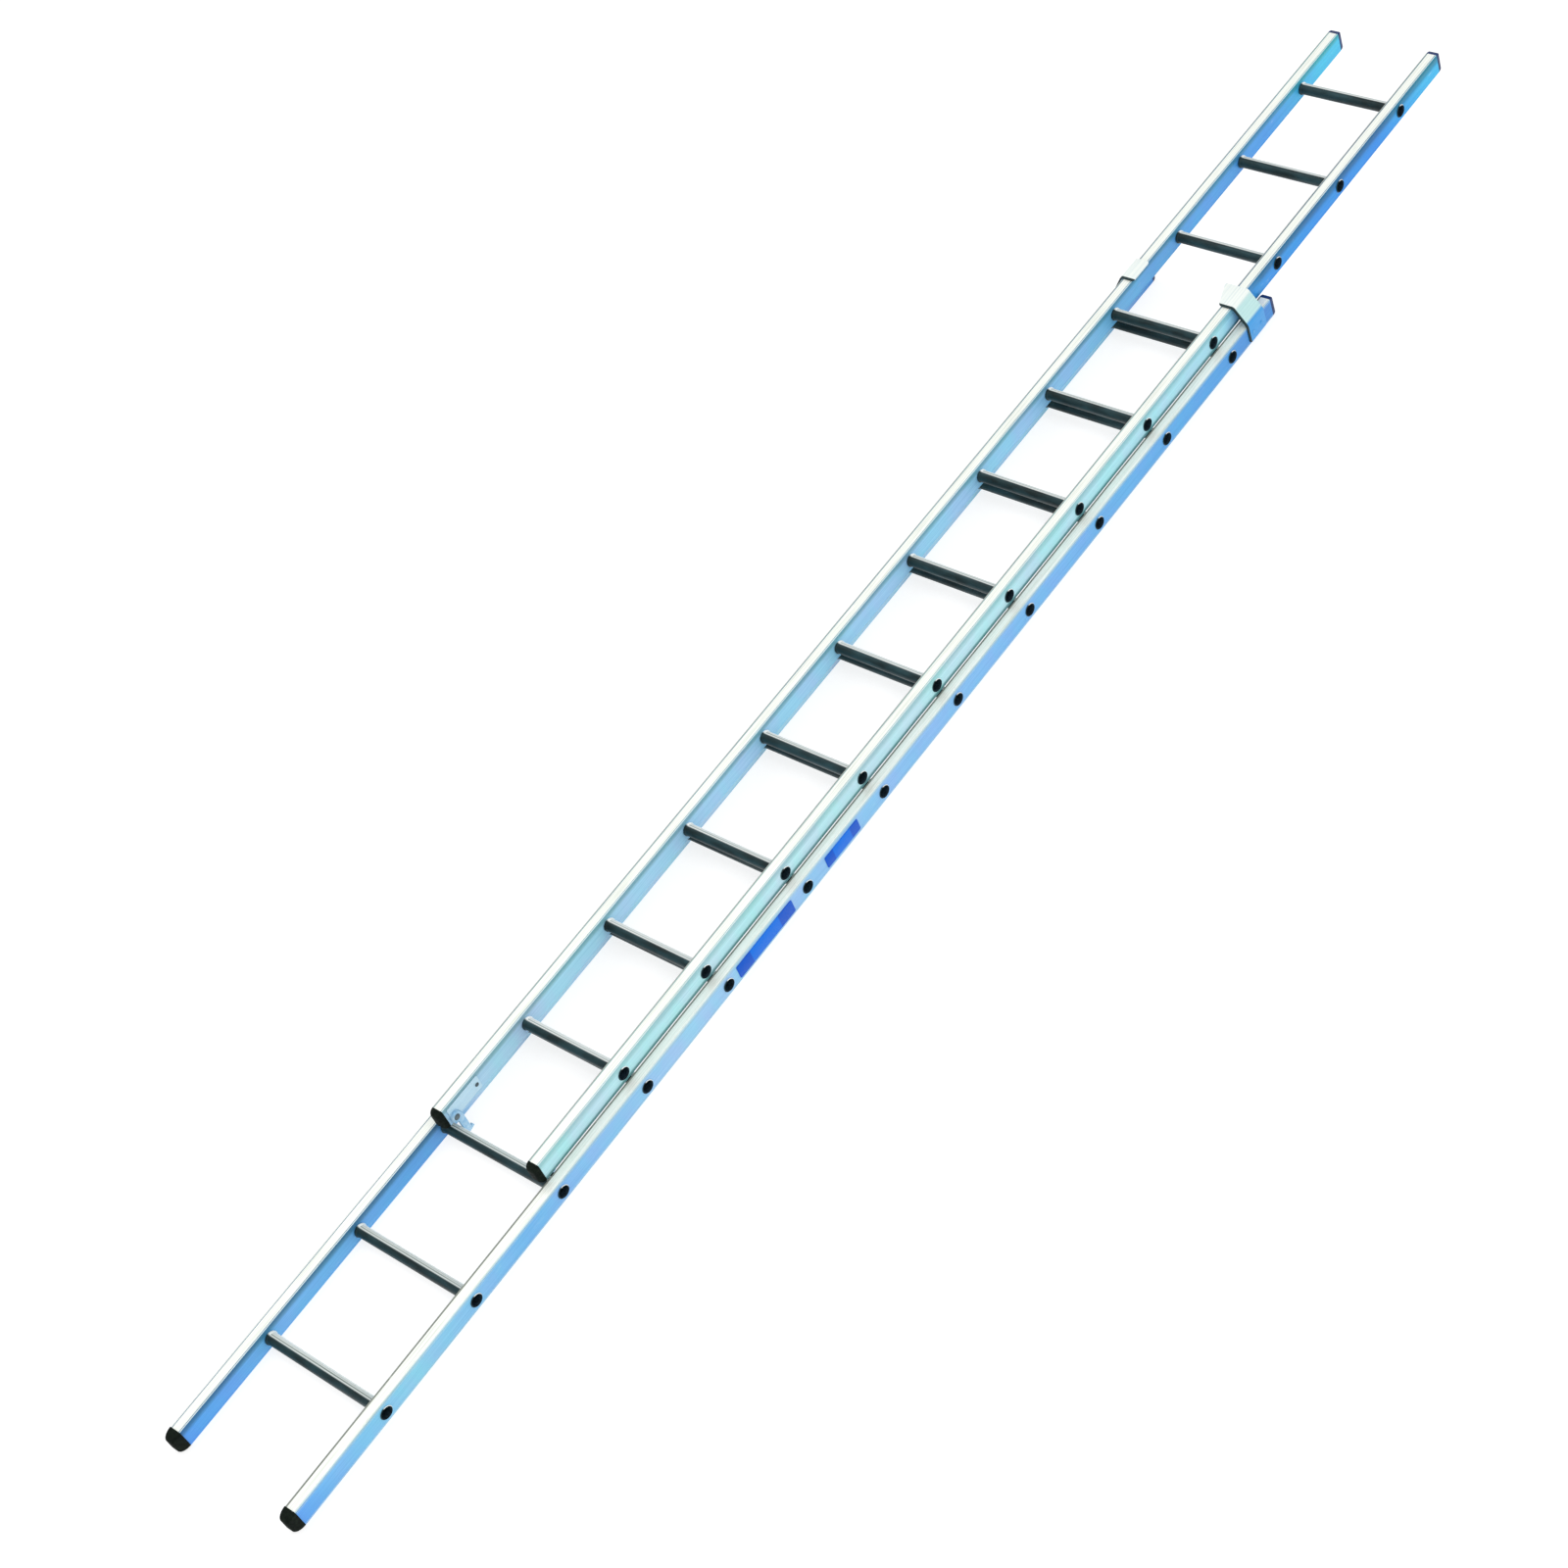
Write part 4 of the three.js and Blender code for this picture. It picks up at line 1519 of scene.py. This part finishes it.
@dataclass
class Studio:
    """A plain white floor, soft light all round and the camera."""

    floor_size: float = 60.0
    floor_colour: Colour = (0.35, 0.35, 0.35)
    floor_glow: float = 0.75
    sky_strength: float = 0.84
    camera_place: Triple = (3.769, -2.778, 4.924)
    camera_aim: Triple = (-0.0186, -0.3174, 0.05)
    camera_roll: float = -25.195     # degrees
    lens: float = 70.3
    sensor: float = 36.0
    key_lamp: tuple[Triple, float, float] = ((-4.5, -0.3, 9.0), 6.0, 165.0)    # place, side and watts
    fill_lamp: tuple[Triple, float, float] = ((5.0, -0.3, 6.0), 4.0, 110.0)

    def _floor(self) -> None:
        """Lay the floor under the ladder."""
        deselect_all()
        bpy.ops.mesh.primitive_plane_add(size=self.floor_size)
        floor = settled("floor")
        paint = Paint("floor_white", 0.0, gloss=0.0, roughness=0.9)
        paint.colour(self.floor_colour)
        paint.feed(paint.shader.inputs["Emission Color"], WHITE)
        paint.feed(paint.shader.inputs["Emission Strength"], self.floor_glow)
        floor.data.materials.append(paint.material)

    def _lamp(self, name: str, place: Triple, size: float, watts: float) -> None:
        """Hang a square soft lamp that faces the ladder's middle.

        Args:
            name: The lamp's name.
            place: Where it hangs.
            size: The length of its side.
            watts: Its power.
        """
        light = bpy.data.lights.new(name, "AREA")
        light.size = size
        light.energy = watts
        lamp = bpy.data.objects.new(name, light)
        lamp.location = place
        lamp.rotation_euler = (-Vector(place)).to_track_quat("-Z", "Y").to_euler()
        bpy.context.scene.collection.objects.link(lamp)

    def _camera(self) -> None:
        """Set up the camera."""
        data = bpy.data.cameras.new("camera")
        data.lens = self.lens
        data.sensor_width = self.sensor
        camera = bpy.data.objects.new("camera", data)
        bpy.context.scene.collection.objects.link(camera)
        place = Vector(self.camera_place)
        level = (Vector(self.camera_aim) - place).to_track_quat("-Z", "Y").to_matrix()
        turned = level @ Euler((0.0, 0.0, math.radians(self.camera_roll))).to_matrix()
        camera.matrix_world = Matrix.Translation(place) @ turned.to_4x4()
        bpy.context.scene.camera = camera

    def build(self) -> None:
        """Build the room."""
        world = bpy.data.worlds.new("soft_sky")
        world.use_nodes = True
        background = world.node_tree.nodes["Background"]
        background.inputs["Color"].default_value = (*WHITE, 1.0)
        background.inputs["Strength"].default_value = self.sky_strength
        bpy.context.scene.world = world
        bpy.context.scene.view_settings.view_transform = "Standard"
        self._floor()
        self._lamp("key", *self.key_lamp)
        self._lamp("fill", *self.fill_lamp)
        self._camera()


# ---- The whole ladder --------------------------------------------------------------------------------

BRACKET_RIVET = {"head_radius": 0.005, "head_height": 0.0018, "shank_radius": 0.0024}
PIVOT_PIN = {"head_radius": 0.0075, "head_height": 0.0025, "shank_radius": 0.004}
RIGHT_LIP_FLARE = 0.026
PLATE_CORNER = 0.004
LATCH_PLATE_EDGE = 0.0006
LABEL_EDGE = 0.0002


def main() -> None:
    """Build every piece of the ladder and the room round it."""
    Studio().build()
    bore, rubber, plug, rivet = (finish.build() for finish in (SHADED_BORE, RUBBER, PLUG, RIVET))
    sheet, casting, painted = (finish.build() for finish in (SheetFinish(), LATCH, PAINTED))
    rungs = {
        Section.BASE: RungFinish("base_rung_underside_shade", linear(232, 239, 237), linear(124, 136, 132)).build(),
        Section.FLY: RungFinish("fly_rung_underside_shade", linear(246, 250, 249), linear(160, 172, 170)).build(),
    }

    Stiles().build(bore)
    for section in Section:
        Rungs(section).build(rungs[section], bore)
    EndPieces(Section.BASE, End.BOTTOM, "foot", proud=0.002, flush_back=True, treads=5).build(
        rubber, "rubber_foot")
    EndPieces(Section.FLY, End.BOTTOM, "fly_bottom_cap", proud=0.001, spigot_length=0.010).build(
        rubber, "rubber_foot")
    for section in Section:
        EndPieces(section, End.TOP, f"{section.value}_top_plug", corner_radius=0.003, shrink_x=0.16,
                  shrink_z=0.14).build(plug, "end_plug")
    for side in Side:
        GuideBracket(side, flare=RIGHT_LIP_FLARE if side is Side.RIGHT else 0.0).build()
        for number in (1, 2):
            Rivet(f"bracket_rivet_{side.label}_{number}", "base", **BRACKET_RIVET).build(painted)
        node = f"latch_plate_{side.label}"
        plate = rounded_plate(f"pressed_{node}", node, PLATE_CORNER, LATCH_PLATE_EDGE)
        paint_and_hand_over(plate, sheet, node, "fly")
        LatchHook(side).build(casting)
        Rivet(f"latch_plate_rivet_{side.label}", "fly", **BRACKET_RIVET).build(rivet)
        Rivet(f"latch_pivot_{side.label}", "fly", **PIVOT_PIN).build(rivet)
    for node in ("label_plate_large", "label_plate_small"):
        label = rounded_plate(f"blank_{node}", node, PLATE_CORNER, LABEL_EDGE)
        paint_and_hand_over(label, LabelFinish(node).build(), node, "base")


if __name__ == "__main__":
    logging.basicConfig(level=logging.INFO, format="%(name)s: %(message)s")
    main()
